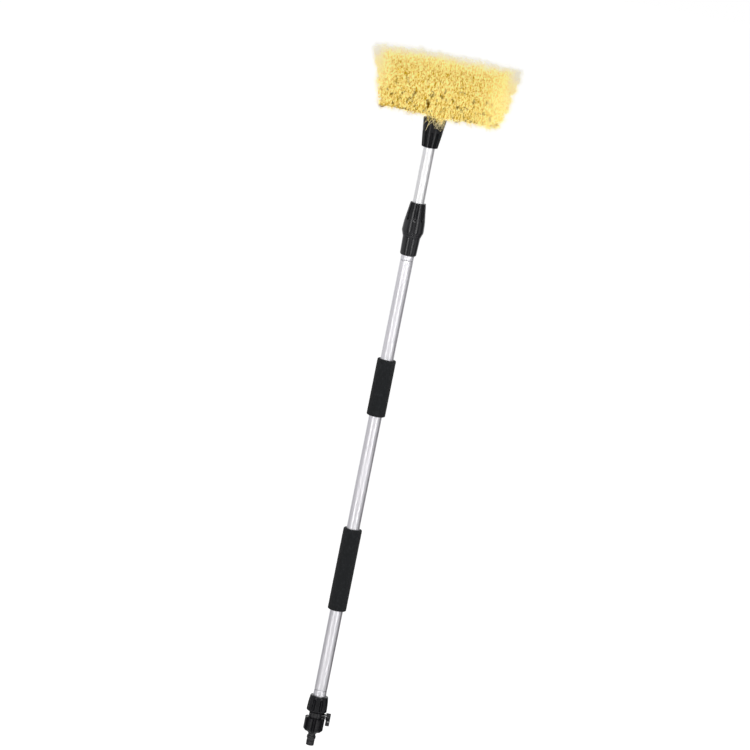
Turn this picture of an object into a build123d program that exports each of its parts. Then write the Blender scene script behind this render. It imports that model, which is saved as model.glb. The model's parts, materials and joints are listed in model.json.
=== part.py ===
from build123d import *
import math
import os

# Car wash brush: a water-fed telescopic pole with a valve below and a bristle head on top.
# Millimetres. +Z runs up the pole, the bristles face -Y, the valve lever is on +X.
# The origin is on the pole axis, midway between the two foam grips.

# Fits and cuts shared by all pieces
overrun = 1.0                   # how far a cutting shape runs past what it cuts
running_fit = 0.05              # radial clearance of pieces that turn or slide
seat_fit = 0.03                 # clearance of pieces that are held still
free_gap = 0.3                  # gap between soft or loose faces

# Tubes
outer_tube_diameter = 25.0
inner_tube_diameter = 22.0
tube_wall = 1.0
outer_tube_above_grips = 227.5  # from the upper grip to the tube's upper end
outer_tube_below_grips = 188.8  # from the lower grip to the tube's lower end
inner_tube_length = 961.0
roll_groove_depth = 0.35        # the ring grooves rolled into the outer tube
roll_groove_width = 2.4
roll_groove_upper_drop = 35.1   # from the tube's upper end to the upper groove
roll_groove_lower_rise = 29.6   # from the tube's lower end to the lower groove

# Foam grips
grip_spacing = 222.2            # between the two grips
upper_grip_length = 109.4
lower_grip_length = 160.0
grip_diameter = 36.0
grip_edge_radius = 2.5

# Lock sleeve, fixed on the upper end of the outer tube
sleeve_overlap = 25.0           # how far the sleeve reaches down over the tube
sleeve_bottom_radius = 14.2
sleeve_bevel_height = 1.8
sleeve_bevel_radius = 15.6
sleeve_shoulder_radius = 16.7
sleeve_shoulder_height = 35.2   # the visible part below the lock nut
sleeve_thread_radius = 15.2
sleeve_thread_depth = 0.8
sleeve_thread_height = 31.6
sleeve_thread_pitch = 5.0
sleeve_bore_radius = 11.4
wiper_lift = 4.0                # above the outer tube's end
wiper_height = 3.0
wiper_radius = 12.6

# Collet inside the lock nut
collet_seat_depth = 12.0        # counterbore in the top of the sleeve
collet_skirt_radius = 13.2
collet_head_radius = 14.2
collet_tip_radius = 12.6
collet_head_height = 19.0
collet_slot_count = 6
collet_slot_width = 1.5
collet_slot_root = 3.0          # solid ring left under the slots

# Lock nut
nut_height = 65.6
nut_base_radius = 17.1
nut_ridge_radius = 20.8
nut_ridge_rise = 10.6
nut_belly_radius = 20.1
nut_belly_rise = 27.5
nut_waist_radius = 17.9
nut_waist_rise = 44.8
nut_top_radius = 15.0
nut_lip_height = 6.0
nut_ring_rises = (5.3, 9.3)
nut_ring_depth = 0.9
nut_ring_width = 1.3
nut_flute_count = 8
nut_flute_radius = 3.4
nut_flute_depth = 1.5
nut_flute_rise = 38.0

# Fittings at the upper end of the inner tube
head_nut_bottom = 630.7         # above the origin, as the pole is set in the photograph
tip_fitting_rise = 9.3          # from the head nut's lower end to the fitting's lower end
tip_sleeve_length = 30.0
tip_sleeve_radius = 12.8
tip_flange_radius = 17.0
tip_flange_height = 4.0
tip_spigot_length = 22.0
water_bore_radius = 6.5
tip_ring_cord = 1.8
rivet_diameter = 3.2
rivet_rise = 8.0
rivet_head_radius = 2.6
rivet_head_height = 0.6

# Head nut
head_nut_height = 55.3
head_nut_bottom_radius = 15.3
head_nut_top_radius = 22.5
head_nut_lip_height = 5.0
head_nut_flute_count = 10
head_nut_flute_radius = 3.6
head_nut_flute_depth = 1.3
head_nut_flute_top = 27.0
neck_thread_radius = 17.5
neck_thread_depth = 0.8
neck_thread_pitch = 3.2
neck_washer_height = 1.5

# Fitting at the lower end of the inner tube
bush_spigot_length = 22.0
bush_flange_height = 22.0
piston_ring_cord = 2.0
piston_ring_rises = (6.0, 16.0)

# Brush head. Its own frame has X along the head, Y towards the upper edge, Z along the bristles
head_tilt = 55.5                # degrees between the pole and the bristles
head_rise = 734.5               # the centre of the bristle face's roots, above the origin
block_thickness = 22.0
block_upper_half = 120.0
block_lower_half = 100.0
block_half_width = 37.0
block_corner_radius = 12.0
block_draft = 6.0               # how much smaller the block's back is, each side
block_wall = 3.2
block_edge_radius = 3.0
board_thickness = 4.5
board_margin = 3.0              # width of the ledge that carries the board
gasket_thickness = 0.8
neck_radius = 17.0
neck_rib_reach = 50.0
neck_rib_rise = 14.0
neck_rib_thickness = 3.0
bumper_stand_out = 0.4          # beyond the block's largest outline
bumper_seat_inset = 4.8         # floor of the bumper's groove, in from that outline
bumper_height = 9.0
bumper_back = 5.0               # from the block's back face to the bumper
bumper_edge_radius = 1.0
board_screw_radius = 1.6
board_screw_head_radius = 3.0
board_screw_head_height = 1.8
board_screw_bite = 3.0          # how far a screw runs into the board
screw_post_radius = 4.2
screw_along_shares = (-0.84, -0.3, 0.3, 0.84)
screw_across_shares = (-0.5, 0.5)
outlet_radius = 1.5
outlet_count = 6

# Bristles, as stout strands that each stand for a tuft
bristle_rows = 11
bristle_columns = 36
bristle_length = 66.0
bristle_margin = 4.5            # from the edge of the board to the outer strands
strand_root_width = 3.2
strand_tip_width = 5.4
backing_thickness = 1.5
upper_spread = 20.0             # degrees that the upper row leans out
lower_spread = 38.0             # degrees that the lower row leans out
upper_end_spread = 24.0         # degrees that the ends of the upper row lean out
lower_end_spread = 16.0
spread_power_share = 1.5
left_corner_drop_share = 0.35   # the left corners lean out less than the right ones

# Plug in the lower end of the outer tube
plug_length = 40.0
plug_flange_radius = 14.5
plug_flange_height = 3.0
plug_ring_cord = 2.0
plug_ring_rises = (22.0, 38.0)
washer_height = 1.5

# Pole end adapter
adapter_rise = 17.8             # how far it reaches up over the outer tube
adapter_top_radius = 16.8
adapter_shoulder_radius = 17.6
adapter_shoulder_drop = 2.0
adapter_swell_radius = 19.0
adapter_swell_drop = 15.0
adapter_foot_radius = 19.5
adapter_foot_drop = 28.5
adapter_height = 32.8
adapter_chamfer_height = 3.2
adapter_base_radius = 15.0
adapter_flat_count = 8
adapter_flat_radius = 6.0
adapter_flat_depth = 0.8
adapter_flat_drop = 6.0
adapter_flat_length = 22.0
adapter_thread_radius = 14.6

# Valve
stem_drop = 20.2                # from the outer tube's lower end to the stem's axis
ball_radius = 7.8
ball_bore_radius = 4.5
ball_slot_width = 2.4
ball_slot_depth = 2.0
seat_radius = 8.4
seat_height = 3.2
seat_bore_radius = 5.0
neck_body_radius = 12.0
neck_rib_radius = 13.2
neck_rib_count = 8
neck_rib_width = 2.6
valve_thread_radius = 13.2
valve_thread_depth = 0.7
valve_thread_pitch = 2.6
valve_length = 39.5
boss_radius = 4.7
boss_reach = 18.2
stem_radius = 3.0
stem_foot_radius = 3.8
stem_foot_height = 1.4
stem_ring_cord = 0.9
gland_radius = 3.9
gland_height = 3.0
gland_rim_height = 1.2
lever_gap = 0.4                 # between the gland's rim and the lever
lever_hub_radius = 6.9
lever_hub_height = 8.0
lever_thickness = 4.8
lever_length = 18.0
lever_root_width = 10.0
lever_tip_width = 11.5
lever_edge_radius = 1.2
lever_screw_radius = 1.4
lever_screw_head_radius = 3.5
lever_screw_head_height = 1.8

# Hose nut and hose tail
hose_nut_gap = 0.8              # between the stem's boss and the nut
hose_nut_height = 26.9
hose_nut_rib_radius = 19.2
hose_nut_edge = 1.0
hose_nut_valley_depth = 1.3
hose_nut_rib_count = 8
hose_nut_taper = 4.0
hose_nut_foot_radius = 15.6
tail_flange_radius = 12.6
tail_flange_height = 3.0
tail_bore_radius = 4.8
tail_collar_radius = 8.8
tail_collar_length = 3.6
tail_waist_radius = 7.3
tail_waist_length = 4.4
tail_barrel_radius = 8.6
tail_barrel_length = 6.0
tail_tip_radius = 7.7
tail_tip_length = 14.0
tail_tip_edge = 1.0
tail_ring_cord = 2.2
tail_ring_drop = 4.0

# Places that follow from the sizes above
outer_tube_radius = outer_tube_diameter / 2
outer_bore_radius = outer_tube_radius - tube_wall
inner_tube_radius = inner_tube_diameter / 2
inner_bore_radius = inner_tube_radius - tube_wall
upper_grip_bottom = grip_spacing / 2
lower_grip_top = -grip_spacing / 2
outer_tube_top = upper_grip_bottom + upper_grip_length + outer_tube_above_grips
outer_tube_bottom = lower_grip_top - lower_grip_length - outer_tube_below_grips
sleeve_bottom = outer_tube_top - sleeve_overlap
wiper_bottom = outer_tube_top + wiper_lift
nut_bottom = sleeve_bottom + sleeve_shoulder_height + running_fit
sleeve_top = sleeve_bottom + sleeve_shoulder_height + sleeve_thread_height
collet_bottom = sleeve_top - collet_seat_depth + running_fit
collet_top = sleeve_top + collet_head_height
nut_top = nut_bottom + nut_height
tip_bottom = head_nut_bottom + tip_fitting_rise
flange_bottom = tip_bottom + tip_sleeve_length
inner_tube_top = flange_bottom
inner_tube_bottom = inner_tube_top - inner_tube_length
neck_bottom = flange_bottom + tip_flange_height + neck_washer_height
head_nut_top = head_nut_bottom + head_nut_height
head_reach = block_thickness * math.sin(math.radians(head_tilt))
head_place = Pos(0, -head_reach, head_rise) * Rot(head_tilt, 0, 0)
chamber_floor = -block_thickness + block_wall
board_bottom = -board_thickness
gasket_bottom = board_bottom - gasket_thickness
bumper_bottom = -block_thickness + bumper_back
plug_bottom = outer_tube_bottom - plug_flange_height
valve_top = plug_bottom - washer_height
valve_bottom = valve_top - valve_length
stem_level = outer_tube_bottom - stem_drop
adapter_top = outer_tube_bottom + adapter_rise
adapter_bottom = adapter_top - adapter_height
lever_plane = boss_reach + gland_rim_height + lever_gap
stem_foot = ball_radius + free_gap
stem_shoulder = stem_foot + stem_foot_height + running_fit
hose_nut_top = stem_level - boss_radius - hose_nut_gap
hose_nut_bottom = hose_nut_top - hose_nut_height
tail_flange_top = valve_bottom - washer_height
tail_collar_top = tail_flange_top - tail_flange_height
tail_waist_top = hose_nut_bottom - tail_collar_length
tail_barrel_top = tail_waist_top - tail_waist_length
tail_tip_top = tail_barrel_top - tail_barrel_length
tail_bottom = tail_tip_top - tail_tip_length
tail_ring_level = tail_tip_top - tail_ring_drop - tail_ring_cord / 2

on_base = (Align.CENTER, Align.CENTER, Align.MIN)


def turned(*outline):
    """A solid of revolution about Z, from its outline of radius and height."""
    profile = Polyline(*[(radius, 0, level) for radius, level in outline], close=True)
    return revolve(make_face(profile), axis=Axis.Z)


def ring(outer, inner, low, high):
    return turned((inner, low), (outer, low), (outer, high), (inner, high))


def disc(radius, low, high):
    return Pos(0, 0, low) * Cylinder(radius, high - low, align=on_base)


def rod(start, end, radius):
    run = Vector(*end) - Vector(*start)
    return Plane(origin=start, z_dir=run).location * Cylinder(radius, run.length, align=on_base)


def around(count, shape, first=0):
    return [Rot(0, 0, first + 360 * step / count) * shape for step in range(count)]


def o_ring(bore, cord, level):
    """A round ring that lies on a groove's floor of the given radius."""
    return Pos(0, 0, level) * Torus(bore + cord / 2, cord / 2)


def ring_groove(outer, floor, cord, level):
    half = cord / 2 + running_fit
    return ring(outer, floor, level - half, level + half)


def thread_rings(outer, root, low, high, pitch):
    """Plain rings that stand for a thread's turns, to be cut away from a blank."""
    cuts = []
    count = int((high - low) / pitch)
    for turn in range(count):
        start = low + pitch * (turn + 1 / 2)
        cuts.append(ring(outer, root, start, start + pitch / 2))
    return cuts


def save(node, *solids):
    shape = solids[0] if len(solids) == 1 else Compound(children=list(solids))
    shape.label = node
    export_step(shape, os.path.join("parts", node + ".step"))


# The poles

def rolled_tube(radius, bore, low, high, groove_levels):
    """A tube whose wall dips inwards at each rolled groove."""
    outside = [(radius, low)]
    inside = [(bore, low)]
    half = roll_groove_width / 2
    for level in groove_levels:
        outside += [(radius, level - half), (radius - roll_groove_depth, level), (radius, level + half)]
        inside += [(bore, level - half), (bore - roll_groove_depth, level), (bore, level + half)]
    outside.append((radius, high))
    inside.append((bore, high))
    return turned(*outside, *reversed(inside))


def outer_tube():
    grooves = (outer_tube_bottom + roll_groove_lower_rise, outer_tube_top - roll_groove_upper_drop)
    return rolled_tube(outer_tube_radius, outer_bore_radius, outer_tube_bottom, outer_tube_top, grooves)


def foam_grip(low, length):
    sleeve = ring(grip_diameter / 2, outer_tube_radius + seat_fit, low, low + length)
    rims = sleeve.edges().filter_by(GeomType.CIRCLE).sort_by(lambda edge: edge.radius)[-2:]
    return fillet(rims, grip_edge_radius)


def inner_tube():
    tube = ring(inner_tube_radius, inner_bore_radius, inner_tube_bottom, inner_tube_top)
    level = tip_bottom + rivet_rise
    return tube - rod((-outer_tube_radius, 0, level), (outer_tube_radius, 0, level), rivet_diameter / 2)


# The twist lock

def lock_sleeve():
    bottom = sleeve_bottom
    shoulder = bottom + sleeve_shoulder_height
    blank = turned(
        (0, bottom), (sleeve_bottom_radius, bottom),
        (sleeve_bevel_radius, bottom + sleeve_bevel_height), (sleeve_shoulder_radius, shoulder),
        (sleeve_thread_radius, shoulder), (sleeve_thread_radius, sleeve_top), (0, sleeve_top),
    )
    bores = [
        disc(outer_tube_radius + seat_fit, bottom - overrun, outer_tube_top),
        disc(sleeve_bore_radius, bottom, sleeve_top + overrun),
        disc(collet_skirt_radius + running_fit, sleeve_top - collet_seat_depth, sleeve_top + overrun),
        disc(wiper_radius + seat_fit, wiper_bottom, wiper_bottom + wiper_height),
    ]
    root = sleeve_thread_radius - sleeve_thread_depth
    turns = thread_rings(sleeve_thread_radius + overrun, root, shoulder, sleeve_top, sleeve_thread_pitch)
    return blank - bores - turns


def wiper_ring():
    low = wiper_bottom + seat_fit
    high = wiper_bottom + wiper_height - seat_fit
    return ring(wiper_radius, inner_tube_radius + running_fit, low, high)


def lock_collet():
    """Split ring that the nut's cone presses on to the inner tube."""
    blank = turned(
        (inner_tube_radius + running_fit, collet_bottom), (collet_skirt_radius, collet_bottom),
        (collet_skirt_radius, sleeve_top + running_fit), (collet_head_radius, sleeve_top + running_fit),
        (collet_tip_radius, collet_top), (inner_tube_radius + running_fit, collet_top),
    )
    height = collet_top - collet_bottom
    slot = Box(outer_tube_radius * 2, collet_slot_width, height,
               align=(Align.MIN, Align.CENTER, Align.MIN))
    return blank - around(collet_slot_count, Pos(0, 0, collet_bottom + collet_slot_root) * slot)


def lock_nut():
    bottom = nut_bottom
    blank = turned(
        (0, bottom), (nut_base_radius, bottom), (nut_ridge_radius, bottom + nut_ridge_rise),
        (nut_belly_radius, bottom + nut_belly_rise), (nut_waist_radius, bottom + nut_waist_rise),
        (nut_top_radius, nut_top), (0, nut_top),
    )
    cone_start = sleeve_top + running_fit
    bore = turned(
        (0, bottom - overrun), (sleeve_thread_radius + running_fit, bottom - overrun),
        (sleeve_thread_radius + running_fit, cone_start),
        (collet_head_radius + running_fit, cone_start), (collet_tip_radius + running_fit, collet_top),
        (collet_tip_radius + running_fit, nut_top - nut_lip_height),
        (inner_tube_radius + free_gap, nut_top - nut_lip_height),
        (inner_tube_radius + free_gap, nut_top + overrun), (0, nut_top + overrun),
    )
    low = (nut_belly_radius + nut_flute_radius - nut_flute_depth, 0, bottom + nut_flute_rise)
    slope = (nut_belly_radius - nut_top_radius) / (nut_height - nut_belly_rise)
    reach = nut_height - nut_flute_rise + overrun
    high = (low[0] - slope * reach, 0, low[2] + reach)
    flute = rod(low, high, nut_flute_radius) + Pos(*low) * Sphere(nut_flute_radius)
    rings = []
    for rise in nut_ring_rises:
        level = bottom + rise
        edge = nut_base_radius + (nut_ridge_radius - nut_base_radius) * rise / nut_ridge_rise
        rings.append(ring(nut_ridge_radius + overrun, edge - nut_ring_depth,
                          level - nut_ring_width / 2, level + nut_ring_width / 2))
    return blank - bore - rings - around(nut_flute_count, flute)


# The joint between the inner tube and the head

def tip_fitting():
    top = flange_bottom + tip_flange_height
    spigot_bottom = flange_bottom - tip_spigot_length
    blank = turned(
        (inner_tube_radius + seat_fit, tip_bottom), (tip_sleeve_radius, tip_bottom),
        (tip_sleeve_radius, flange_bottom), (tip_flange_radius, flange_bottom),
        (tip_flange_radius, top), (water_bore_radius, top), (water_bore_radius, spigot_bottom),
        (inner_bore_radius - seat_fit, spigot_bottom), (inner_bore_radius - seat_fit, flange_bottom),
        (inner_tube_radius + seat_fit, flange_bottom),
    )
    floor = inner_bore_radius - tip_ring_cord - running_fit
    groove = ring_groove(inner_bore_radius, floor, tip_ring_cord, spigot_bottom + tip_spigot_length / 2)
    level = tip_bottom + rivet_rise
    pin = rod((-tip_flange_radius, 0, level), (tip_flange_radius, 0, level), rivet_diameter / 2)
    return blank - groove - pin


def tip_o_ring():
    floor = inner_bore_radius - tip_ring_cord - running_fit
    return o_ring(floor + seat_fit, tip_ring_cord, flange_bottom - tip_spigot_length / 2)


def tip_rivets():
    level = tip_bottom + rivet_rise
    shank = rivet_diameter / 2 - seat_fit
    outside = tip_sleeve_radius + seat_fit
    rivet = rod((inner_bore_radius, 0, level), (outside, 0, level), shank)
    rivet += rod((outside, 0, level), (outside + rivet_head_height, 0, level), rivet_head_radius)
    return around(2, rivet)


def head_nut():
    bottom = head_nut_bottom
    blank = turned(
        (0, bottom), (head_nut_bottom_radius, bottom), (head_nut_top_radius, head_nut_top), (0, head_nut_top),
    )
    ledge = flange_bottom - running_fit
    rivet_room = tip_sleeve_radius + rivet_head_height + free_gap
    bores = [
        disc(inner_tube_radius + free_gap, bottom - overrun, head_nut_top),
        disc(tip_sleeve_radius + running_fit, bottom + head_nut_lip_height, tip_bottom),
        disc(rivet_room, tip_bottom, ledge),
        disc(neck_thread_radius + running_fit, ledge, head_nut_top + overrun),
    ]
    slope = (head_nut_top_radius - head_nut_bottom_radius) / head_nut_height
    offset = head_nut_flute_radius - head_nut_flute_depth
    low = (head_nut_bottom_radius + offset - slope * overrun, 0, bottom - overrun)
    high = (head_nut_bottom_radius + offset + slope * head_nut_flute_top, 0, bottom + head_nut_flute_top)
    flute = rod(low, high, head_nut_flute_radius) + Pos(*high) * Sphere(head_nut_flute_radius)
    return blank - bores - around(head_nut_flute_count, flute)


def neck_washer():
    low = flange_bottom + tip_flange_height
    return ring(tip_flange_radius, water_bore_radius, low, low + neck_washer_height)


# The lower end of the inner tube

def end_bush():
    bottom = inner_tube_bottom - bush_flange_height
    outside = outer_bore_radius - running_fit
    blank = turned(
        (water_bore_radius, bottom), (outside, bottom), (outside, inner_tube_bottom),
        (inner_bore_radius - seat_fit, inner_tube_bottom),
        (inner_bore_radius - seat_fit, inner_tube_bottom + bush_spigot_length),
        (water_bore_radius, inner_tube_bottom + bush_spigot_length),
    )
    floor = outside - piston_ring_cord
    grooves = [ring_groove(outer_bore_radius, floor, piston_ring_cord, bottom + rise)
               for rise in piston_ring_rises]
    return blank - grooves


def piston_o_rings():
    bottom = inner_tube_bottom - bush_flange_height
    floor = outer_bore_radius - running_fit - piston_ring_cord
    return [o_ring(floor, piston_ring_cord, bottom + rise) for rise in piston_ring_rises]


# The brush head, in its own frame

def head_plan(level, shrink=0):
    """The block's outline at a level, drawn in from its largest size."""
    half_width = block_half_width - shrink
    upper_half = block_upper_half - shrink
    lower_half = block_lower_half - shrink
    corners = [(-lower_half, -half_width), (lower_half, -half_width),
               (upper_half, half_width), (-upper_half, half_width)]
    corner = max(block_corner_radius - shrink, block_corner_radius / 3)
    return Pos(0, 0, level) * make_face(FilletPolyline(*corners, radius=corner, close=True))


def head_shell():
    body = loft([head_plan(-block_thickness, block_draft), head_plan(0)])
    back = body.faces().sort_by(Axis.Z)[0]
    return fillet(back.edges(), block_edge_radius)


def screw_places():
    return [(block_lower_half * along, block_half_width * across)
            for along in screw_along_shares for across in screw_across_shares]


def at_screws(shape):
    return [Pos(x, y, 0) * shape for x, y in screw_places()]


def outlet_places():
    pitch = 2 * block_lower_half / (outlet_count + 1)
    return [(pitch * (step + 1) - block_lower_half, 0) for step in range(outlet_count)]


def at_outlets(shape):
    return [Pos(x, y, 0) * shape for x, y in outlet_places()]


def neck():
    """The threaded socket on the back, along the pole's axis, in the head's frame."""
    stem = disc(neck_radius, neck_bottom, head_rise + block_thickness)
    stem += disc(neck_thread_radius, neck_bottom, head_nut_top)
    root = neck_thread_radius - neck_thread_depth
    stem -= thread_rings(neck_thread_radius + overrun, root, neck_bottom, head_nut_top, neck_thread_pitch)
    stem = head_place.inverse() * stem
    behind = Pos(0, 0, chamber_floor - block_wall / 2)
    room = Box(block_upper_half, head_rise, head_rise, align=(Align.CENTER, Align.CENTER, Align.MAX))
    return stem & (behind * room)


def neck_ribs():
    base = -block_thickness + block_wall / 2
    foot = -block_thickness - neck_rib_rise
    outline = Polyline((0, base), (neck_rib_reach, base), (neck_radius, foot), (0, foot), close=True)
    rib = extrude(Plane.XZ * make_face(outline), amount=neck_rib_thickness / 2, both=True)
    return [rib, Rot(0, 0, 180) * rib]


def head_block():
    chamber = loft([head_plan(chamber_floor, block_draft + block_wall),
                    head_plan(gasket_bottom, block_wall + board_margin)])
    pocket = extrude(head_plan(gasket_bottom, block_wall), amount=block_thickness)
    posts = at_screws(disc(screw_post_radius, chamber_floor - block_wall / 2, gasket_bottom))
    shaft = board_screw_radius + seat_fit
    seat = -block_thickness + board_screw_head_height
    holes = at_screws(disc(shaft, -block_thickness - overrun, 0))
    seats = at_screws(disc(board_screw_head_radius + seat_fit, -block_thickness - overrun, seat))
    bore = head_place.inverse() * disc(water_bore_radius, neck_bottom - overrun, head_rise)
    bore &= extrude(head_plan(gasket_bottom, block_wall), amount=-head_rise)
    rim = extrude(head_plan(bumper_bottom, -overrun), amount=bumper_height)
    groove = rim - extrude(head_plan(bumper_bottom, bumper_seat_inset), amount=bumper_height)
    body = head_shell() - chamber - pocket
    body = body + neck() + neck_ribs() + posts
    return body - groove - holes - seats - bore


def bumper():
    """Soft strip that lies in a groove round the block."""
    outside = extrude(head_plan(bumper_bottom + seat_fit, -bumper_stand_out),
                      amount=bumper_height - 2 * seat_fit)
    ends = outside.faces().sort_by(Axis.Z)
    outside = fillet(ends[0].edges() + ends[-1].edges(), bumper_edge_radius)
    return outside - extrude(head_plan(bumper_bottom, bumper_seat_inset - seat_fit), amount=bumper_height)


def board_plan(level):
    return head_plan(level, block_wall + seat_fit)


def bristle_board():
    plate = extrude(board_plan(board_bottom), amount=board_thickness)
    pilots = at_screws(disc(board_screw_radius + seat_fit, board_bottom - overrun,
                            board_bottom + board_screw_bite))
    return plate - pilots - at_outlets(disc(outlet_radius, board_bottom - overrun, overrun))


def board_gasket():
    frame = extrude(board_plan(gasket_bottom), amount=gasket_thickness)
    window = head_plan(gasket_bottom - overrun, block_wall + board_margin)
    return frame - extrude(window, amount=gasket_thickness + 2 * overrun)


def board_screws():
    low = -block_thickness
    screw = disc(board_screw_head_radius, low, low + board_screw_head_height)
    screw += disc(board_screw_radius, low, board_bottom + board_screw_bite - free_gap)
    slot = Box(board_screw_head_radius * 2, board_screw_head_radius / 4, board_screw_head_height,
               align=Align.CENTER)
    return at_screws(screw - Pos(0, 0, low) * slot)


def strand_root(along, across):
    """Where a strand leaves the board, from its place in the field, each from -1 to 1."""
    inset = block_wall + bristle_margin
    upper_half = block_upper_half - inset
    lower_half = block_lower_half - inset
    half = lower_half + (upper_half - lower_half) * (across + 1) / 2
    return along * half, across * (block_half_width - inset)


def strand_reach(along, across):
    """The strand's run from root to tip."""
    lean = upper_spread * across if across > 0 else -lower_spread * abs(across) ** spread_power_share
    end_spread = lower_end_spread + (upper_end_spread - lower_end_spread) * (across + 1) / 2
    turn = math.copysign(end_spread * abs(along) ** spread_power_share, along)
    if along < 0:
        lean *= 1 - left_corner_drop_share * abs(along) ** 3
    run = Vector(math.tan(math.radians(turn)), math.tan(math.radians(lean)), 1)
    return run.normalized() * bristle_length


def strand(along, across):
    x, y = strand_root(along, across)
    run = strand_reach(along, across)
    foot = Pos(x, y, backing_thickness / 2) * Rectangle(strand_root_width, strand_root_width)
    tip = Pos(x + run.X, y + run.Y, run.Z) * Rectangle(strand_tip_width, strand_tip_width)
    return Solid.make_loft([foot.wire(), tip.wire()], ruled=True)


def bristles():
    strands = []
    clear = outlet_radius + strand_root_width
    for row in range(bristle_rows):
        across = 2 * row / (bristle_rows - 1) - 1
        for column in range(bristle_columns):
            along = 2 * column / (bristle_columns - 1) - 1
            x, y = strand_root(along, across)
            if any(abs(x - a) < clear and abs(y - b) < clear for a, b in outlet_places()):
                continue
            strands.append(strand(along, across))
    print("strands", len(strands))
    backing = extrude(board_plan(0), amount=backing_thickness)
    backing -= at_outlets(disc(outlet_radius, -overrun, backing_thickness + overrun))
    return backing.fuse(*strands)


# The pole's lower end and the valve

def end_plug():
    """Plug inside the outer tube: the tube is rolled into its groove, and its flange takes the pull."""
    top = plug_bottom + plug_length + plug_flange_height
    outside = outer_bore_radius - seat_fit
    groove_level = outer_tube_bottom + roll_groove_lower_rise
    half = roll_groove_width / 2
    blank = turned(
        (water_bore_radius, plug_bottom), (plug_flange_radius, plug_bottom),
        (plug_flange_radius, outer_tube_bottom), (outside, outer_tube_bottom),
        (outside, groove_level - half), (outside - roll_groove_depth, groove_level),
        (outside, groove_level + half), (outside, top), (water_bore_radius, top),
    )
    floor = outside - plug_ring_cord
    grooves = [ring_groove(outer_bore_radius, floor, plug_ring_cord, plug_bottom + rise)
               for rise in plug_ring_rises]
    return blank - grooves


def plug_o_rings():
    floor = outer_bore_radius - seat_fit - plug_ring_cord
    return [o_ring(floor, plug_ring_cord, plug_bottom + rise) for rise in plug_ring_rises]


def plug_washer():
    return ring(plug_flange_radius, water_bore_radius, valve_top, plug_bottom)


def pole_end_adapter():
    top = adapter_top
    blank = turned(
        (0, top), (adapter_top_radius, top), (adapter_shoulder_radius, top - adapter_shoulder_drop),
        (adapter_swell_radius, top - adapter_swell_drop), (adapter_foot_radius, top - adapter_foot_drop),
        (adapter_foot_radius, adapter_bottom + adapter_chamfer_height),
        (adapter_base_radius, adapter_bottom), (0, adapter_bottom),
    )
    bores = [
        disc(outer_tube_radius + seat_fit, outer_tube_bottom, top + overrun),
        disc(adapter_thread_radius + seat_fit, adapter_bottom - overrun, outer_tube_bottom),
    ]
    reach = adapter_swell_radius + adapter_flat_radius - adapter_flat_depth
    flute_top = top - adapter_flat_drop
    flute = rod((reach, 0, flute_top - adapter_flat_length), (reach, 0, flute_top), adapter_flat_radius)
    return blank - bores - around(adapter_flat_count, flute, first=360 / adapter_flat_count / 2)


def valve_body():
    collar_bottom = adapter_bottom
    blank = turned(
        (0, valve_top), (adapter_thread_radius, valve_top), (adapter_thread_radius, collar_bottom),
        (neck_body_radius, collar_bottom), (neck_body_radius, hose_nut_top),
        (valve_thread_radius, hose_nut_top), (valve_thread_radius, valve_bottom), (0, valve_bottom),
    )
    rib_height = collar_bottom - hose_nut_top
    rib = Box(neck_rib_radius, neck_rib_width, rib_height, align=(Align.MIN, Align.CENTER, Align.MIN))
    ribs = around(neck_rib_count, Pos(0, 0, hose_nut_top) * rib, first=360 / neck_rib_count / 2)
    boss = rod((stem_shoulder, 0, stem_level), (boss_reach, 0, stem_level), boss_radius)
    root = valve_thread_radius - valve_thread_depth
    turns = thread_rings(valve_thread_radius + overrun, root, valve_bottom, hose_nut_top, valve_thread_pitch)
    seat_top = stem_level + ball_radius + seat_height / 2
    bores = [
        disc(water_bore_radius, seat_top - overrun, valve_top + overrun),
        disc(seat_radius + seat_fit, valve_bottom - overrun, seat_top),
        rod((0, 0, stem_level), (boss_reach + overrun, 0, stem_level), stem_radius + running_fit),
        rod((0, 0, stem_level), (stem_shoulder, 0, stem_level), stem_foot_radius + running_fit),
        rod((boss_reach - gland_height, 0, stem_level), (boss_reach + overrun, 0, stem_level),
            gland_radius + seat_fit),
    ]
    return blank + ribs + boss - turns - bores


def seat_blank(low, high):
    return disc(seat_radius, low, high) - disc(seat_bore_radius, low - overrun, high + overrun)


def valve_seats():
    """Two rings, hollowed to the ball, above and below it."""
    ball_room = Pos(0, 0, stem_level) * Sphere(ball_radius + running_fit)
    reach = ball_radius + seat_height / 2
    upper = seat_blank(stem_level + reach - seat_height, stem_level + reach) - ball_room
    lower = seat_blank(stem_level - reach, stem_level - reach + seat_height) - ball_room
    return upper, lower


def seat_retainer():
    high = stem_level - ball_radius - seat_height / 2
    return ring(seat_radius - seat_fit, seat_bore_radius, valve_bottom, high)


def valve_ball():
    ball = Pos(0, 0, stem_level) * Sphere(ball_radius)
    ball -= disc(ball_bore_radius, stem_level - ball_radius - overrun, stem_level + ball_radius + overrun)
    slot = Box(ball_slot_depth + overrun, ball_slot_width + 2 * seat_fit, ball_radius * 2,
               align=(Align.MIN, Align.CENTER, Align.CENTER))
    return ball - Pos(ball_radius - ball_slot_depth, 0, stem_level) * slot


def stem_rings():
    first = boss_reach - gland_height - stem_ring_cord
    return first, first - stem_ring_cord * 2


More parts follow.
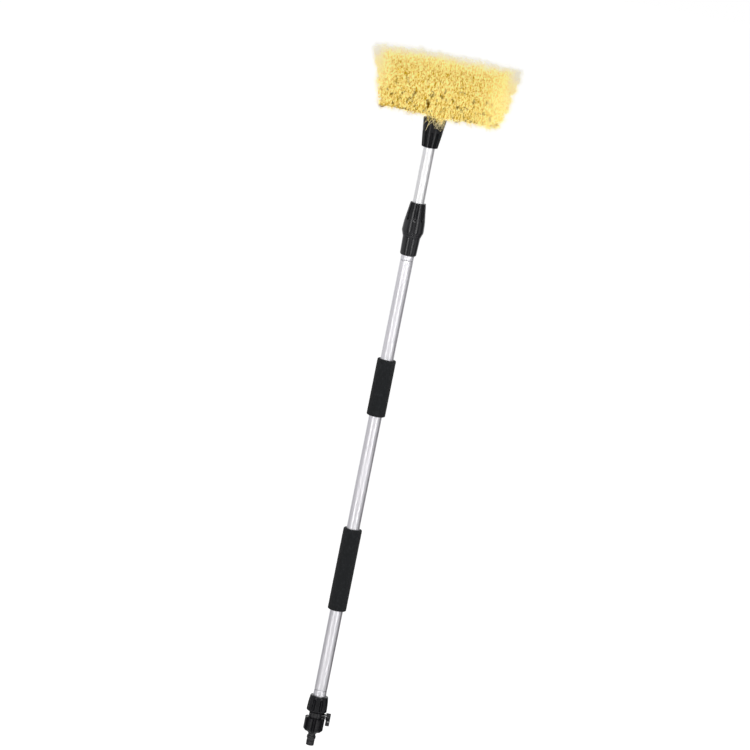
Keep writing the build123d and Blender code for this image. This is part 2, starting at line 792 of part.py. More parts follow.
def valve_stem():
    """Turned pin with a tongue in the ball's slot and a square on which the lever sits."""
    foot = stem_foot
    end = lever_plane + lever_hub_height - lever_screw_head_height - running_fit
    stem = rod((foot, 0, stem_level), (end, 0, stem_level), stem_radius)
    stem += rod((foot, 0, stem_level), (foot + stem_foot_height, 0, stem_level), stem_foot_radius)
    tongue = Box(ball_slot_depth + stem_foot_height / 2, ball_slot_width, stem_radius * 2,
                 align=(Align.MIN, Align.CENTER, Align.CENTER))
    stem += Pos(foot - ball_slot_depth, 0, stem_level) * tongue
    hole = rod((end - lever_hub_height / 2, 0, stem_level), (end + overrun, 0, stem_level),
               lever_screw_radius + seat_fit)
    floor = stem_radius - stem_ring_cord
    for level in stem_rings():
        groove = ring_groove(stem_radius + overrun, floor, stem_ring_cord, 0)
        stem -= Pos(level, 0, stem_level) * Rot(0, 90, 0) * groove
    return stem - hole


def stem_o_rings():
    ring_shape = Rot(0, 90, 0) * o_ring(stem_radius - stem_ring_cord, stem_ring_cord, 0)
    return [Pos(level, 0, stem_level) * ring_shape for level in stem_rings()]


def stem_gland():
    low = boss_reach - gland_height + seat_fit
    bush = rod((low, 0, stem_level), (boss_reach, 0, stem_level), gland_radius)
    bush += rod((boss_reach, 0, stem_level), (boss_reach + gland_rim_height, 0, stem_level), boss_radius)
    return bush - rod((low - overrun, 0, stem_level), (lever_plane, 0, stem_level), stem_radius + running_fit)


def valve_lever():
    """Hub on the stem with a paddle that lies along the pole when the valve is open."""
    outer = lever_plane + lever_hub_height
    hub = rod((lever_plane, 0, stem_level), (outer, 0, stem_level), lever_hub_radius)
    half_root = lever_root_width / 2
    half_tip = lever_tip_width / 2
    outline = Polyline((-half_root, 0), (half_root, 0), (half_tip, -lever_length + half_tip / 2),
                       (half_tip / 2, -lever_length), (-half_tip / 2, -lever_length),
                       (-half_tip, -lever_length + half_tip / 2), close=True)
    paddle = extrude(Plane.YZ * make_face(outline), amount=lever_thickness)
    paddle = fillet(paddle.edges().filter_by(Axis.X), lever_edge_radius)
    lever = hub + Pos(outer - lever_thickness, 0, stem_level) * paddle
    seat = outer - lever_screw_head_height
    lever -= rod((lever_plane - overrun, 0, stem_level), (outer, 0, stem_level), stem_radius + seat_fit)
    return lever - rod((seat, 0, stem_level), (outer + overrun, 0, stem_level),
                       lever_screw_head_radius + seat_fit)


def lever_screw():
    outer = lever_plane + lever_hub_height
    seat = outer - lever_screw_head_height
    tip = seat - lever_hub_height / 2 + free_gap
    screw = rod((tip, 0, stem_level), (seat, 0, stem_level), lever_screw_radius)
    screw += rod((seat, 0, stem_level), (outer, 0, stem_level), lever_screw_head_radius)
    slot = Box(lever_screw_head_height, lever_screw_head_radius * 2, lever_screw_head_radius / 4,
               align=Align.CENTER)
    return screw - Pos(outer, 0, stem_level) * slot


# The hose connection

def hose_nut():
    top = hose_nut_top
    bottom = hose_nut_bottom
    blank = turned(
        (0, top), (hose_nut_rib_radius - hose_nut_edge, top), (hose_nut_rib_radius, top - hose_nut_edge),
        (hose_nut_rib_radius, bottom + hose_nut_taper), (hose_nut_foot_radius, bottom), (0, bottom),
    )
    inside = turned(
        (0, top + overrun), (valve_thread_radius + running_fit, top + overrun),
        (valve_thread_radius + running_fit, tail_collar_top - running_fit),
        (tail_collar_radius + running_fit, tail_collar_top - running_fit),
        (tail_collar_radius + running_fit, bottom - overrun), (0, bottom - overrun),
    )
    pitch = math.pi * hose_nut_rib_radius / hose_nut_rib_count
    valley = pitch / 2
    reach = hose_nut_rib_radius + valley - hose_nut_valley_depth
    flute = rod((reach, 0, bottom - overrun), (reach, 0, top + overrun), valley)
    return blank - inside - around(hose_nut_rib_count, flute)


def tail_washer():
    return ring(tail_flange_radius, tail_bore_radius, tail_flange_top, valve_bottom)


def hose_tail():
    """Nipple that takes a quick hose connector: collar, latch groove, barrel and sealed tip."""
    blank = turned(
        (0, tail_flange_top), (tail_flange_radius, tail_flange_top), (tail_flange_radius, tail_collar_top),
        (tail_collar_radius, tail_collar_top), (tail_collar_radius, tail_waist_top),
        (tail_waist_radius, tail_waist_top - tail_waist_length / 4), (tail_waist_radius, tail_barrel_top),
        (tail_barrel_radius, tail_barrel_top - tail_waist_length / 4), (tail_barrel_radius, tail_tip_top),
        (tail_tip_radius, tail_tip_top - tail_waist_length / 4),
        (tail_tip_radius, tail_bottom + tail_tip_edge),
        (tail_tip_radius - tail_tip_edge, tail_bottom), (0, tail_bottom),
    )
    bore = disc(tail_bore_radius, tail_bottom - overrun, tail_flange_top + overrun)
    floor = tail_tip_radius - tail_ring_cord + running_fit
    return blank - bore - ring_groove(tail_tip_radius + overrun, floor, tail_ring_cord, tail_ring_level)


def tail_o_ring():
    floor = tail_tip_radius - tail_ring_cord + running_fit
    return o_ring(floor + seat_fit, tail_ring_cord, tail_ring_level)


def in_place(shape):
    return head_place * shape


save("outer_tube", outer_tube())
save("upper_foam_grip", foam_grip(upper_grip_bottom, upper_grip_length))
save("lower_foam_grip", foam_grip(lower_grip_top - lower_grip_length, lower_grip_length))
save("lock_sleeve", lock_sleeve())
save("wiper_ring", wiper_ring())
save("lock_collet", lock_collet())
save("lock_nut", lock_nut())
save("inner_tube", inner_tube())
save("end_bush", end_bush())
save("piston_o_rings", *piston_o_rings())
save("tip_fitting", tip_fitting())
save("tip_o_ring", tip_o_ring())
save("tip_rivets", *tip_rivets())
save("head_nut", head_nut())
save("neck_washer", neck_washer())
save("head_block", in_place(head_block()))
save("bumper", in_place(bumper()))
save("bristle_board", in_place(bristle_board()))
save("board_gasket", in_place(board_gasket()))
save("board_screws", *[in_place(screw) for screw in board_screws()])
save("bristles", in_place(bristles()))
save("end_plug", end_plug())
save("plug_o_rings", *plug_o_rings())
save("plug_washer", plug_washer())
save("pole_end_adapter", pole_end_adapter())
save("valve_body", valve_body())
save("valve_seats", *valve_seats())
save("seat_retainer", seat_retainer())
save("valve_ball", valve_ball())
save("valve_stem", valve_stem())
save("stem_o_rings", *stem_o_rings())
save("stem_gland", stem_gland())
save("valve_lever", valve_lever())
save("lever_screw", lever_screw())
save("hose_nut", hose_nut())
save("tail_washer", tail_washer())
save("hose_tail", hose_tail())
save("tail_o_ring", tail_o_ring())
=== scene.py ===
import bmesh
import bpy
import json
import math
import random
from mathutils import Matrix, Vector
from types import SimpleNamespace

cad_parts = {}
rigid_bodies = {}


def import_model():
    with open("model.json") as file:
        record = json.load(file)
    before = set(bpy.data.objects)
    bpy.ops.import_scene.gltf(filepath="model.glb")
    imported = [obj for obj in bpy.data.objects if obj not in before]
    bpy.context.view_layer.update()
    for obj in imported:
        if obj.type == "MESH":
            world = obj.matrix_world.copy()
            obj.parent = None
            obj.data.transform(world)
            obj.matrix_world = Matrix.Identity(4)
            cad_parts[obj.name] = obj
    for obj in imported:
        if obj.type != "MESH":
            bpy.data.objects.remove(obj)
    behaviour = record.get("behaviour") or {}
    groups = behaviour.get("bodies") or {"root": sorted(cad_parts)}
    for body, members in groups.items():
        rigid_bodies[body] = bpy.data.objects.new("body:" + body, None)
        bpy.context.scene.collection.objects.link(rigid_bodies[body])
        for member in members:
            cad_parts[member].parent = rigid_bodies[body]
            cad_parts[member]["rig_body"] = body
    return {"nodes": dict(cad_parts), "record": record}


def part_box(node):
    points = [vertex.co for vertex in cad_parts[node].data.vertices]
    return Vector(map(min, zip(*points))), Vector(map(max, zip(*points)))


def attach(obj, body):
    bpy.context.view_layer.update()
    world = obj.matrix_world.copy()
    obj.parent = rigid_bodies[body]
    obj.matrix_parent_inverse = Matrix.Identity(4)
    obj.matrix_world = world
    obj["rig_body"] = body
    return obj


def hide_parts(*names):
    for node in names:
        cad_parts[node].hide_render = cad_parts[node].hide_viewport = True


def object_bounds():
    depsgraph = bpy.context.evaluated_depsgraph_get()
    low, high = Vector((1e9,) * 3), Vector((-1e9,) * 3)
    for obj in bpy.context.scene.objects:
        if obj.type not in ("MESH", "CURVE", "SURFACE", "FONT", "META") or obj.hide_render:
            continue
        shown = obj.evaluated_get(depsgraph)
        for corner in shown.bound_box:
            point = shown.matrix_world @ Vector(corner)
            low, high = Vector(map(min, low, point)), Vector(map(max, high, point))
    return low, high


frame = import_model()
sceneObjects = bpy.context.scene.collection.objects
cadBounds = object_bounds()
print("frame loaded")


# Nodes written as Python expressions

def operator(operation):
    return lambda wire, other: combine(operation, wire, other)


def swapped(operation):  # with the plain value on the left
    return lambda wire, other: combine(operation, other, wire)


class Wire:
    def __init__(self, tree, socket):
        self.tree, self.socket = tree, socket

    __add__, __radd__ = operator("ADD"), swapped("ADD")
    __sub__, __rsub__ = operator("SUBTRACT"), swapped("SUBTRACT")
    __mul__, __rmul__ = operator("MULTIPLY"), swapped("MULTIPLY")
    __truediv__, __rtruediv__ = operator("DIVIDE"), swapped("DIVIDE")
    __pow__ = operator("POWER")

    def maths(self, operation, *others):
        return combine(operation, self, *others)

    def part(self, letter):
        return self.tree.add("ShaderNodeSeparateXYZ", None, {0: self}, letter)

    def between(self, low, high):  # 0 at low, 1 at high, with soft ends
        settings = {"interpolation_type": "SMOOTHSTEP"}
        inputs = {"Value": self, "From Min": low, "From Max": high}
        return self.tree.add("ShaderNodeMapRange", settings, inputs)


def combine(operation, *values):
    wires = [value for value in values if isinstance(value, Wire)]
    tree, settings = wires[0].tree, {"operation": operation}
    if not any(wire.socket.type in ("VECTOR", "RGBA") for wire in wires):
        return tree.add("ShaderNodeMath", settings, dict(enumerate(values)))
    values = [(value,) * 3 if isinstance(value, (int, float)) else value for value in values]
    output = "Value" if operation in ("LENGTH", "DOT_PRODUCT") else "Vector"
    return tree.add("ShaderNodeVectorMath", settings, dict(enumerate(values)), output)


class Tree:
    def __init__(self, nodeTree):
        self.nodeTree = nodeTree

    def add(self, kind, settings=None, inputs=None, output=0):
        node = self.nodeTree.nodes.new(kind)
        for name, value in (settings or {}).items():
            setattr(node, name, value)
        for place, value in (inputs or {}).items():
            if isinstance(value, Wire):
                self.nodeTree.links.new(value.socket, node.inputs[place])
            else:
                node.inputs[place].default_value = value
        return Wire(self, node.outputs[output]) if len(node.outputs) else node

    def mixed(self, factor, first, second):
        return self.add("ShaderNodeMix", {"data_type": "RGBA"}, {0: factor, 6: first, 7: second}, 2)

    def grain(self, place, scale, detail=2.0, output=0):
        inputs = {"Vector": place, "Scale": scale, "Detail": detail}
        return self.add("ShaderNodeTexNoise", None, inputs, output)

    def stored(self, name):
        return self.add("ShaderNodeAttribute", {"attribute_name": name}, None, "Fac")


def clearedTree(owner):
    owner.use_nodes = True
    owner.node_tree.nodes.clear()
    return Tree(owner.node_tree)


# Finishes. A pattern gives the varying sockets, the height of the bump and any painted shade

paintedFluteShade = (0.003, 0.003, 0.004, 1)  # painted shade: near-black for a moulded skin inside its flutes


def makeFinish(name, pattern, look, constants):
    made = bpy.data.materials.new(name)
    tree = clearedTree(made)
    looks = pattern(tree, tree.add("ShaderNodeTexCoord", output="Object"), SimpleNamespace(**look))
    bump = tree.add("ShaderNodeBump", None, {"Distance": look["bump"], "Height": looks.pop("Height")})
    shade = looks.pop("Shade", None)
    shader = tree.add("ShaderNodeBsdfPrincipled", None, {**constants, **looks, "Normal": bump})
    # a pattern's Shade mixes in a near-black matt surface: painted shade
    if shade:
        dark = tree.add("ShaderNodeBsdfDiffuse", None, {"Color": paintedFluteShade})
        shader = tree.add("ShaderNodeMixShader", None, {0: shade, 1: shader, 2: dark})
    tree.add("ShaderNodeOutputMaterial", None, {"Surface": shader})
    return made


drawnLook = dict(
    across=2600.0, along=0.004,  # drawing lines: noise cells per metre, and their stretch
    lines=(0.25, 0.7), smudge=24.0, smudgeAlong=0.35, worn=(0.42, 0.66), detail=4.0,
    roughness=0.30, lineRoughness=0.14, wornRoughness=0.08, bump=0.00002,
    soil=(0.16, 0.16, 0.17, 1), soilDepth=0.0003, soilShare=0.4,  # darker in the rolled grooves
)
outerLook = dict(drawnLook, dark=(0.70, 0.69, 0.72, 1), light=(0.86, 0.85, 0.88, 1), skin=0.0124)
innerLook = dict(drawnLook, dark=(0.76, 0.76, 0.77, 1), light=(0.90, 0.90, 0.90, 1), skin=0.0109)


def drawnPattern(tree, place, look):
    below = 1 - (place * (1, 1, 0)).maths("LENGTH").between(look.skin - look.soilDepth, look.skin)
    lines = tree.grain(place * (1, 1, look.along), look.across, look.detail)
    smudges = tree.grain(place * (1, 1, look.smudgeAlong), look.smudge, look.detail)
    clean = tree.mixed(lines.between(*look.lines), look.dark, look.light)
    worn = smudges.between(*look.worn)
    return {
        "Base Color": tree.mixed(below * look.soilShare, clean, look.soil),
        "Roughness": look.roughness + lines * look.lineRoughness + worn * look.wornRoughness,
        "Height": lines,
    }


foamLook = dict(
    # the pores' colour and share: painted shade in the pores
    skin=(0.008, 0.009, 0.010, 1), poreColour=(0.002, 0.002, 0.003, 1), dust=(0.017, 0.018, 0.020, 1),
    pore=1150.0, poreEdge=(0.08, 0.42), poreShade=0.85,
    lump=260.0, lumpDetail=3.0, lumpHeight=0.6, dusty=(0.45, 0.75), dustShare=0.8,
    roughness=0.82, lumpRoughness=0.14, bump=0.00022,
)


def foamPattern(tree, place, look):
    cells = tree.add("ShaderNodeTexVoronoi", None, {"Vector": place, "Scale": look.pore})
    pores = 1 - cells.between(*look.poreEdge)
    lumps = tree.grain(place, look.lump, look.lumpDetail)
    dusty = tree.mixed(lumps.between(*look.dusty) * look.dustShare, look.skin, look.dust)
    return {
        # painted shade in the pores
        "Base Color": tree.mixed(pores * look.poreShade, dusty, look.poreColour),
        "Roughness": look.roughness + lumps * look.lumpRoughness,
        "Height": lumps * look.lumpHeight - pores,
    }


mouldedLook = dict(
    flow=70.0, flowAlong=0.4, flowDetail=4.0, flowTone=(0.35, 0.7), flowRoughness=0.12,
    flowHeight=0.5, rub=420.0, rubDetail=5.0, rubbed=(0.56, 0.70), rubPolish=0.08,
    wall=(0.0, 0.3), floor=(0.82, 0.98), floorLight=0.5, fluteShade=0.85,  # painted shade in a flute, by its depth
)
sparkLook = dict(
    mouldedLook, dark=(0.002, 0.002, 0.003, 1), light=(0.008, 0.008, 0.010, 1),
    roughness=0.15, texture=2200.0, bump=0.00004,
)
leverLook = dict(
    mouldedLook, dark=(0.006, 0.006, 0.008, 1), light=(0.012, 0.012, 0.016, 1),
    roughness=0.18, texture=3400.0, bump=0.00003,
)
acetalLook = dict(
    mouldedLook, dark=(0.78, 0.78, 0.75, 1), light=(0.86, 0.86, 0.83, 1),
    roughness=0.32, texture=1800.0, bump=0.00003,
)
sealLook = dict(
    mouldedLook, dark=(0.010, 0.010, 0.011, 1), light=(0.022, 0.022, 0.023, 1),
    roughness=0.50, texture=1500.0, bump=0.00004,
)
bumperLook = dict(
    mouldedLook, dark=(0.085, 0.085, 0.095, 1), light=(0.14, 0.14, 0.155, 1),
    roughness=0.55, texture=900.0, bump=0.00008,
)


def mouldedPattern(tree, place, look):
    spark = tree.grain(place, look.texture)
    flow = tree.grain(place * (1, 1, look.flowAlong), look.flow, look.flowDetail)
    rubbed = tree.grain(place, look.rub, look.rubDetail).between(*look.rubbed)
    hollow = tree.stored("hollow")
    floorLight = 1 - hollow.between(*look.floor) * look.floorLight
    return {
        "Base Color": tree.mixed(flow.between(*look.flowTone), look.dark, look.light),
        "Roughness": look.roughness + flow * look.flowRoughness - rubbed * look.rubPolish,
        "Height": spark + flow * look.flowHeight,
        # painted shade in the flutes, half as dark at their deepest
        "Shade": hollow.between(*look.wall) * floorLight * look.fluteShade,
    }


metalLook = dict(spots=(0.3, 0.7), detail=3.0, spotRoughness=0.12)
zincLook = dict(
    metalLook, dark=(0.52, 0.52, 0.50, 1), light=(0.66, 0.67, 0.70, 1),
    roughness=0.26, texture=700.0, bump=0.00002,
)
chromeLook = dict(
    metalLook, dark=(0.70, 0.70, 0.71, 1), light=(0.78, 0.78, 0.80, 1),
    roughness=0.06, texture=300.0, bump=0.000005,
)


def metalPattern(tree, place, look):
    spots = tree.grain(place, look.texture, look.detail)
    return {
        "Base Color": tree.mixed(spots.between(*look.spots), look.dark, look.light),
        "Roughness": look.roughness + spots * look.spotRoughness,
        "Height": spots,
    }


# The brush head's own frame: X along it, Y to the upper edge, Z along the bristles

headShape = dict(
    tilt=55.5, rise=0.7345, thickness=0.022, upperHalf=0.120, lowerHalf=0.100, halfWidth=0.037,
    wall=0.0032, margin=0.0045, outlets=7,
)
headTilt = math.radians(headShape["tilt"])
headReach = headShape["thickness"] * math.sin(headTilt)

bristleLook = dict(
    # root: painted shade at the bristles' roots
    root=(0.40, 0.23, 0.02, 1), stem=(0.98, 0.70, 0.06, 1), tip=(1.0, 0.885, 0.36, 1),
    # deep: painted shade, for tufts that the speckle leaves dark
    deep=(0.54, 0.31, 0.0, 1), gap=(0.12, 0.048, 0.0, 1), pale=(0.92, 0.89, 0.78, 1),
    sidePale=(0.86, 0.73, 0.40, 1), axis=(0, -math.sin(headTilt), math.cos(headTilt)), drawnOut=0.85,
    lower=(-0.95, 0.05), lowest=(-1.0, -0.7), upper=(0.25, 0.85),  # across the head, from -1 to 1
    rightEnd=(0.55, 0.9), leftEnd=(0.75, 0.95), sideToTop=(0.3, 0.8),
    # speckle: tufts painted lit or shaded at random; it also roughens and bumps them
    speckle=370.0, speckleDetail=3.0, speckled=(0.42, 0.53), plainLight=0.7, toneLight=0.3,
    # gap, gaps and their shares: painted shadows between tufts, more in the lower part
    gaps=135.0, gapEdge=(0.365, 0.405), upperGaps=0.12, lowerGaps=0.88,
    rootToStem=(0.15, 0.75), lowestRoot=0.25, stemToTip=(0.6, 0.92),  # along a bristle, from 0 to 1
    smoothLight=0.6, smoothGaps=0.7, paleFrom=(0.62, 1.0), sheerFrom=(0.66, 1.0), sheer=0.2,
    paleTone=(0.90, 1.0), paleToneFrom=(0.8, 1.0), paleToneShare=0.4,
    # glow: the strands glow in their own colour, painted light
    glow=0.26, roughness=0.42, speckleRoughness=0.2, bump=0.00005,
)


def bristlePattern(tree, place, look):
    reach, tone, pale, along, across = (
        tree.stored(name) for name in ("reach", "tone", "pale", "along", "across"))
    lower = 1 - across.between(*look.lower)
    lowest = 1 - across.between(*look.lowest)
    rightEnd = along.between(*look.rightEnd)
    leftEnd = (along * -1.0).between(*look.leftEnd) * (1 - lower)
    # smooth: the upper rows and the ends, painted more evenly lit and with fewer painted shadows
    smooth = across.between(*look.upper).maths("MAXIMUM", rightEnd).maths("MAXIMUM", leftEnd)
    flat = place - place.maths("PROJECT", look.axis) * look.drawnOut
    speckle = tree.grain(flat, look.speckle, look.speckleDetail)
    # painted shadows between tufts, in patches that run along the bristles
    gaps = 1 - tree.grain(flat, look.gaps).between(*look.gapEdge)
    # painted shade at the roots, reaching further up along the lowest rows
    stem = tree.mixed((reach - lowest * look.lowestRoot).between(*look.rootToStem), look.root, look.stem)
    # painted light and shade: patches of tufts painted lit or shaded, lit more where the head is smooth
    paintedLitTufts = speckle.between(*look.speckled) * (look.plainLight + tone * look.toneLight)
    tips = tree.mixed(paintedLitTufts + (1 - paintedLitTufts) * smooth * look.smoothLight, look.deep, look.tip)
    yellow = tree.mixed(reach.between(*look.stemToTip), stem, tips)
    # less painted shadow where the head is smooth, more in its lower part
    gapShadeShare = gaps * (look.upperGaps + lower * look.lowerGaps) * (1 - smooth * look.smoothGaps)
    gapShaded = tree.mixed(gapShadeShare, yellow, look.gap)
    paleTips = tone.between(*look.paleTone) * reach.between(*look.paleToneFrom) * (1 - gaps)
    whiteness = (pale * reach.between(*look.paleFrom) + paleTips * look.paleToneShare).maths("MINIMUM", 1.0)
    fringe = tree.mixed(across.between(*look.sideToTop), look.sidePale, look.pale)
    colour = tree.mixed(whiteness, gapShaded, fringe)
    return {
        "Base Color": colour,
        "Emission Color": colour * look.glow,  # painted light: the strands glow in their own colour, for light that passes from strand to strand
        "Roughness": look.roughness + speckle * look.speckleRoughness,
        "Height": speckle,
    }


def fringePattern(tree, place, look):  # fine split ends let some light through
    through = tree.stored("pale") * tree.stored("reach").between(*look.sheerFrom) * look.sheer
    return {**bristlePattern(tree, place, look), "Alpha": 1 - through}


specular = "Specular IOR Level"
bareMetal = {"Metallic": 1.0}
# the filaments glow in their own colour: painted light
selfGlowingFilament = {specular: 0.0, "Emission Strength": 1.0}
softFoam = {specular: 0.18, "Sheen Weight": 0.05}
finishes = {
    "outer_aluminium": makeFinish("drawnOuterTube", drawnPattern, outerLook, bareMetal),
    "inner_aluminium": makeFinish("drawnInnerTube", drawnPattern, innerLook, bareMetal),
    "foam": makeFinish("closedCellFoam", foamPattern, foamLook, softFoam),
    "black_plastic": makeFinish("sparkTexturedBlack", mouldedPattern, sparkLook, {specular: 0.5}),
    "dull_plastic": makeFinish("dullTexturedBlack", mouldedPattern, sparkLook, {specular: 0.27}),
    "lever_plastic": makeFinish("smoothBlack", mouldedPattern, leverLook, {specular: 0.5}),
    "white_plastic": makeFinish("whiteAcetal", mouldedPattern, acetalLook, {"IOR": 1.48}),
    "seal_rubber": makeFinish("sealNitrile", mouldedPattern, sealLook, {specular: 0.35}),
    "bumper_rubber": makeFinish("bumperRubber", mouldedPattern, bumperLook, {specular: 0.3}),
    "yellow_bristle": makeFinish("flaggedFilament", bristlePattern, bristleLook, selfGlowingFilament),
    "bristle_fringe": makeFinish("flaggedFringe", fringePattern, bristleLook, selfGlowingFilament),
    "screw_steel": makeFinish("zincPlate", metalPattern, zincLook, bareMetal),
    "valve_metal": makeFinish("hardChrome", metalPattern, chromeLook, bareMetal),
}
print("finishes made:", len(finishes))


# Geometry node trees and what they make

def newNodeTree(name, values):
    group = bpy.data.node_groups.new(name, "GeometryNodeTree")
    group.interface.new_socket("Geometry", in_out="INPUT", socket_type="NodeSocketGeometry")
    group.interface.new_socket("Geometry", in_out="OUTPUT", socket_type="NodeSocketGeometry")
    kinds = {int: "Int", float: "Float", bpy.types.Collection: "Collection"}
    for label, value in {**values, "Material": None}.items():
        kind = kinds.get(type(value), "Material")
        socket = group.interface.new_socket(label, in_out="INPUT", socket_type="NodeSocket" + kind)
        if kind in ("Int", "Float"):
            socket.default_value = value
    tree = Tree(group)
    entry = group.nodes.new("NodeGroupInput")
    given = {socket.name: Wire(tree, socket) for socket in entry.outputs if socket.name}
    return group, tree, given


def endNodeTree(tree, given, shape):
    whole = tree.add("GeometryNodeRealizeInstances", None, {0: shape})
    coated = tree.add("GeometryNodeSetMaterial", None, {"Geometry": whole, "Material": given["Material"]})
    tree.add("NodeGroupOutput", None, {0: coated})


def keep(tree, shape, values):
    for name, value in values.items():
        kind = "FLOAT_VECTOR" if value.socket.type == "VECTOR" else "FLOAT"
        shape = tree.add("GeometryNodeStoreNamedAttribute", {"data_type": kind},
                         {"Geometry": shape, "Name": name, "Value": value})
    return shape


def kept(tree, name, kind="FLOAT"):
    return tree.add("GeometryNodeInputNamedAttribute", {"data_type": kind}, {"Name": name})


def moved(tree, shape, offset):
    return tree.add("GeometryNodeSetPosition", None, {"Geometry": shape, "Offset": offset})


def joined(tree, x, y, z=0.0):
    return tree.add("ShaderNodeCombineXYZ", None, {0: x, 1: y, 2: z})


def growWith(piece, group, values):
    modifier = piece.modifiers.new(group.name, "NODES")
    modifier.node_group = group
    for socket in group.interface.items_tree:
        if socket.in_out == "INPUT" and socket.name in values:
            modifier[socket.identifier] = values[socket.name]
    settled(piece)


def settled(piece):  # what the modifiers give becomes the piece's own mesh
    depsgraph = bpy.context.evaluated_depsgraph_get()
    mesh = bpy.data.meshes.new_from_object(piece.evaluated_get(depsgraph), preserve_all_data_layers=True,
                                           depsgraph=depsgraph)
    mesh.name = piece.name
    piece.modifiers.clear()
    piece.data = mesh


def newPiece(name, vertices, faces):
    mesh = bpy.data.meshes.new(name)
    mesh.from_pydata(vertices, [], faces)
    shell = bmesh.new()
    shell.from_mesh(mesh)
    bmesh.ops.recalc_face_normals(shell, faces=shell.faces)
    shell.to_mesh(mesh)
    shell.free()
    mesh.shade_smooth()
    piece = bpy.data.objects.new(name, mesh)
    sceneObjects.link(piece)
    return piece


def placed(values, node):  # a piece's values, and the box and height of its solid
    low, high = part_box(node)
    return SimpleNamespace(**values), low, high, high.z - low.z


def dress(piece, node, slot):
    if not piece.data.materials:
        piece.data.materials.append(finishes[slot])
    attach(piece, frame["nodes"][node]["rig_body"])
    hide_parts(node)


# Pieces turned round the pole from an outline of corners

crisp = 0.0002  # how far a corner's rounding reaches
fine = 0.0003
eased = 0.0004
rounded = 0.0005
roundingShare = 0.45  # of a side at most
roundingSteps = 4
pastEnd = 0.01  # for flutes that run off an end


def softOutline(corners):  # a corner is a radius, a rise and the reach of its rounding
    points = []
    for place, (radius, rise, soft) in enumerate(corners):
        here = Vector((radius, rise))
        toLast = Vector(corners[place - 1][:2]) - here
        toNext = Vector(corners[(place + 1) % len(corners)][:2]) - here
        reach = min(soft, toLast.length * roundingShare, toNext.length * roundingShare)
        start = here + toLast.normalized() * reach
        end = here + toNext.normalized() * reach
        for step in range(roundingSteps + 1):
            share = step / roundingSteps
            points.append(start * (1 - share) ** 2 + here * 2 * share * (1 - share) + end * share ** 2)
    return points


def spaced(points, spacing):
    closer = []
    for place, point in enumerate(points):
        run = points[(place + 1) % len(points)] - point
        count = max(1, math.ceil(run.length / spacing))
        closer += [point + run * step / count for step in range(count)]
    return closer


def turnedPiece(name, corners, base, at):
    outline = spaced(softOutline(corners), at.spacing)
    turns = at.turns
    angles = [2 * math.pi * step / turns for step in range(turns)]
    vertices = [(point.x * math.cos(angle), point.x * math.sin(angle), base + point.y)
                for point in outline for angle in angles]
    faces = []
    for row in range(len(outline)):
        low = row * turns
        high = (row + 1) % len(outline) * turns
        for step in range(turns):
            beside = (step + 1) % turns
            faces.append((low + step, low + beside, high + beside, high + step))
    return newPiece(name, vertices, faces)


# Flutes pressed into a turned piece, round its axis

fluteValues = {"Count": 8, "First Angle": 0.0, "Half Width": 0.003, "Depth": 0.001, "Low": 0.0, "High": 0.1,
               "Inner Radius": 0.01, "Fade In": 0.002, "Edge": 1.4, "Taper": 1.0}
fluteTree, tree, given = newNodeTree("flutes", fluteValues)
spot = tree.add("GeometryNodeInputPosition")
radial = spot * (1, 1, 0)
radius = radial.maths("LENGTH")
pitch = 2 * math.pi / given["Count"]
turn = spot.part("Y").maths("ARCTAN2", spot.part("X")) - given["First Angle"]
aside = turn.maths("WRAP", pitch / 2, pitch / -2) * radius
level = spot.part("Z")
beyond = (given["Low"] - level).maths("MAXIMUM", level - given["High"]).maths("MAXIMUM", 0.0) * given["Taper"]
gap = (aside * aside + beyond * beyond) / (given["Half Width"] * given["Half Width"])
cut = (1 - gap).maths("MAXIMUM", 0.0) ** given["Edge"]
outside = radius.between(given["Inner Radius"], given["Inner Radius"] + given["Fade In"])
push = radial.maths("NORMALIZE") * (cut * outside * given["Depth"] * -1.0)
# hollow: how far a point is cut into a flute; the moulded finishes paint shade by it
marked = keep(tree, given["Geometry"], {"hollow": cut * outside})
endNodeTree(tree, given, moved(tree, marked, push))


def flutedPiece(name, corners, base, at, low, high, finish):
    piece = turnedPiece(name, corners, base, at)
    growWith(piece, fluteTree, {**at.flutes, "Low": low, "High": high, "Material": finishes[finish]})
    return piece


# Uneven foam, rubbed a little by hands

foamValues = {"Lump Scale": 140.0, "Lump Depth": 0.0004, "Pore Scale": 900.0, "Pore Depth": 0.00012}
foamTree, tree, given = newNodeTree("foamSkin", foamValues)
spot = tree.add("GeometryNodeInputPosition")
lumps = tree.grain(spot, given["Lump Scale"], 3.0) - 0.5
pores = tree.grain(spot, given["Pore Scale"], 1.0) - 0.5
outward = tree.add("GeometryNodeInputNormal")
push = outward * (lumps * given["Lump Depth"] + pores * given["Pore Depth"])
endNodeTree(tree, given, moved(tree, given["Geometry"], push))


# The outer tube with its two rolled grooves

tubeShape = dict(
    wall=0.001, grooveDepth=0.0006, grooveWidth=0.0036, upperDrop=0.0351, lowerRise=0.0296,
    turns=96, spacing=0.05,
)


def outerTube():
    at, low, high, length = placed(tubeShape, "outer_tube")
    half = at.grooveWidth / 2
    walls = []
    for radius in (high.x, high.x - at.wall):
        walls.append([(radius, 0, fine)])
        for rise in (at.lowerRise, length - at.upperDrop):
            walls[-1] += [(radius, rise - half, half), (radius - at.grooveDepth, rise, half),
                          (radius, rise + half, half)]
        walls[-1].append((radius, length, fine))
    return turnedPiece("outerTube", walls[0] + walls[1][::-1], low.z, at)


dress(outerTube(), "outer_tube", "outer_aluminium")


# The foam grips

gripShape = dict(
    bore=0.01253, rim=0.0034, boreEdge=0.0006, inset=0.0002, fill=0.9,
    turns=120, spacing=0.0011,
)


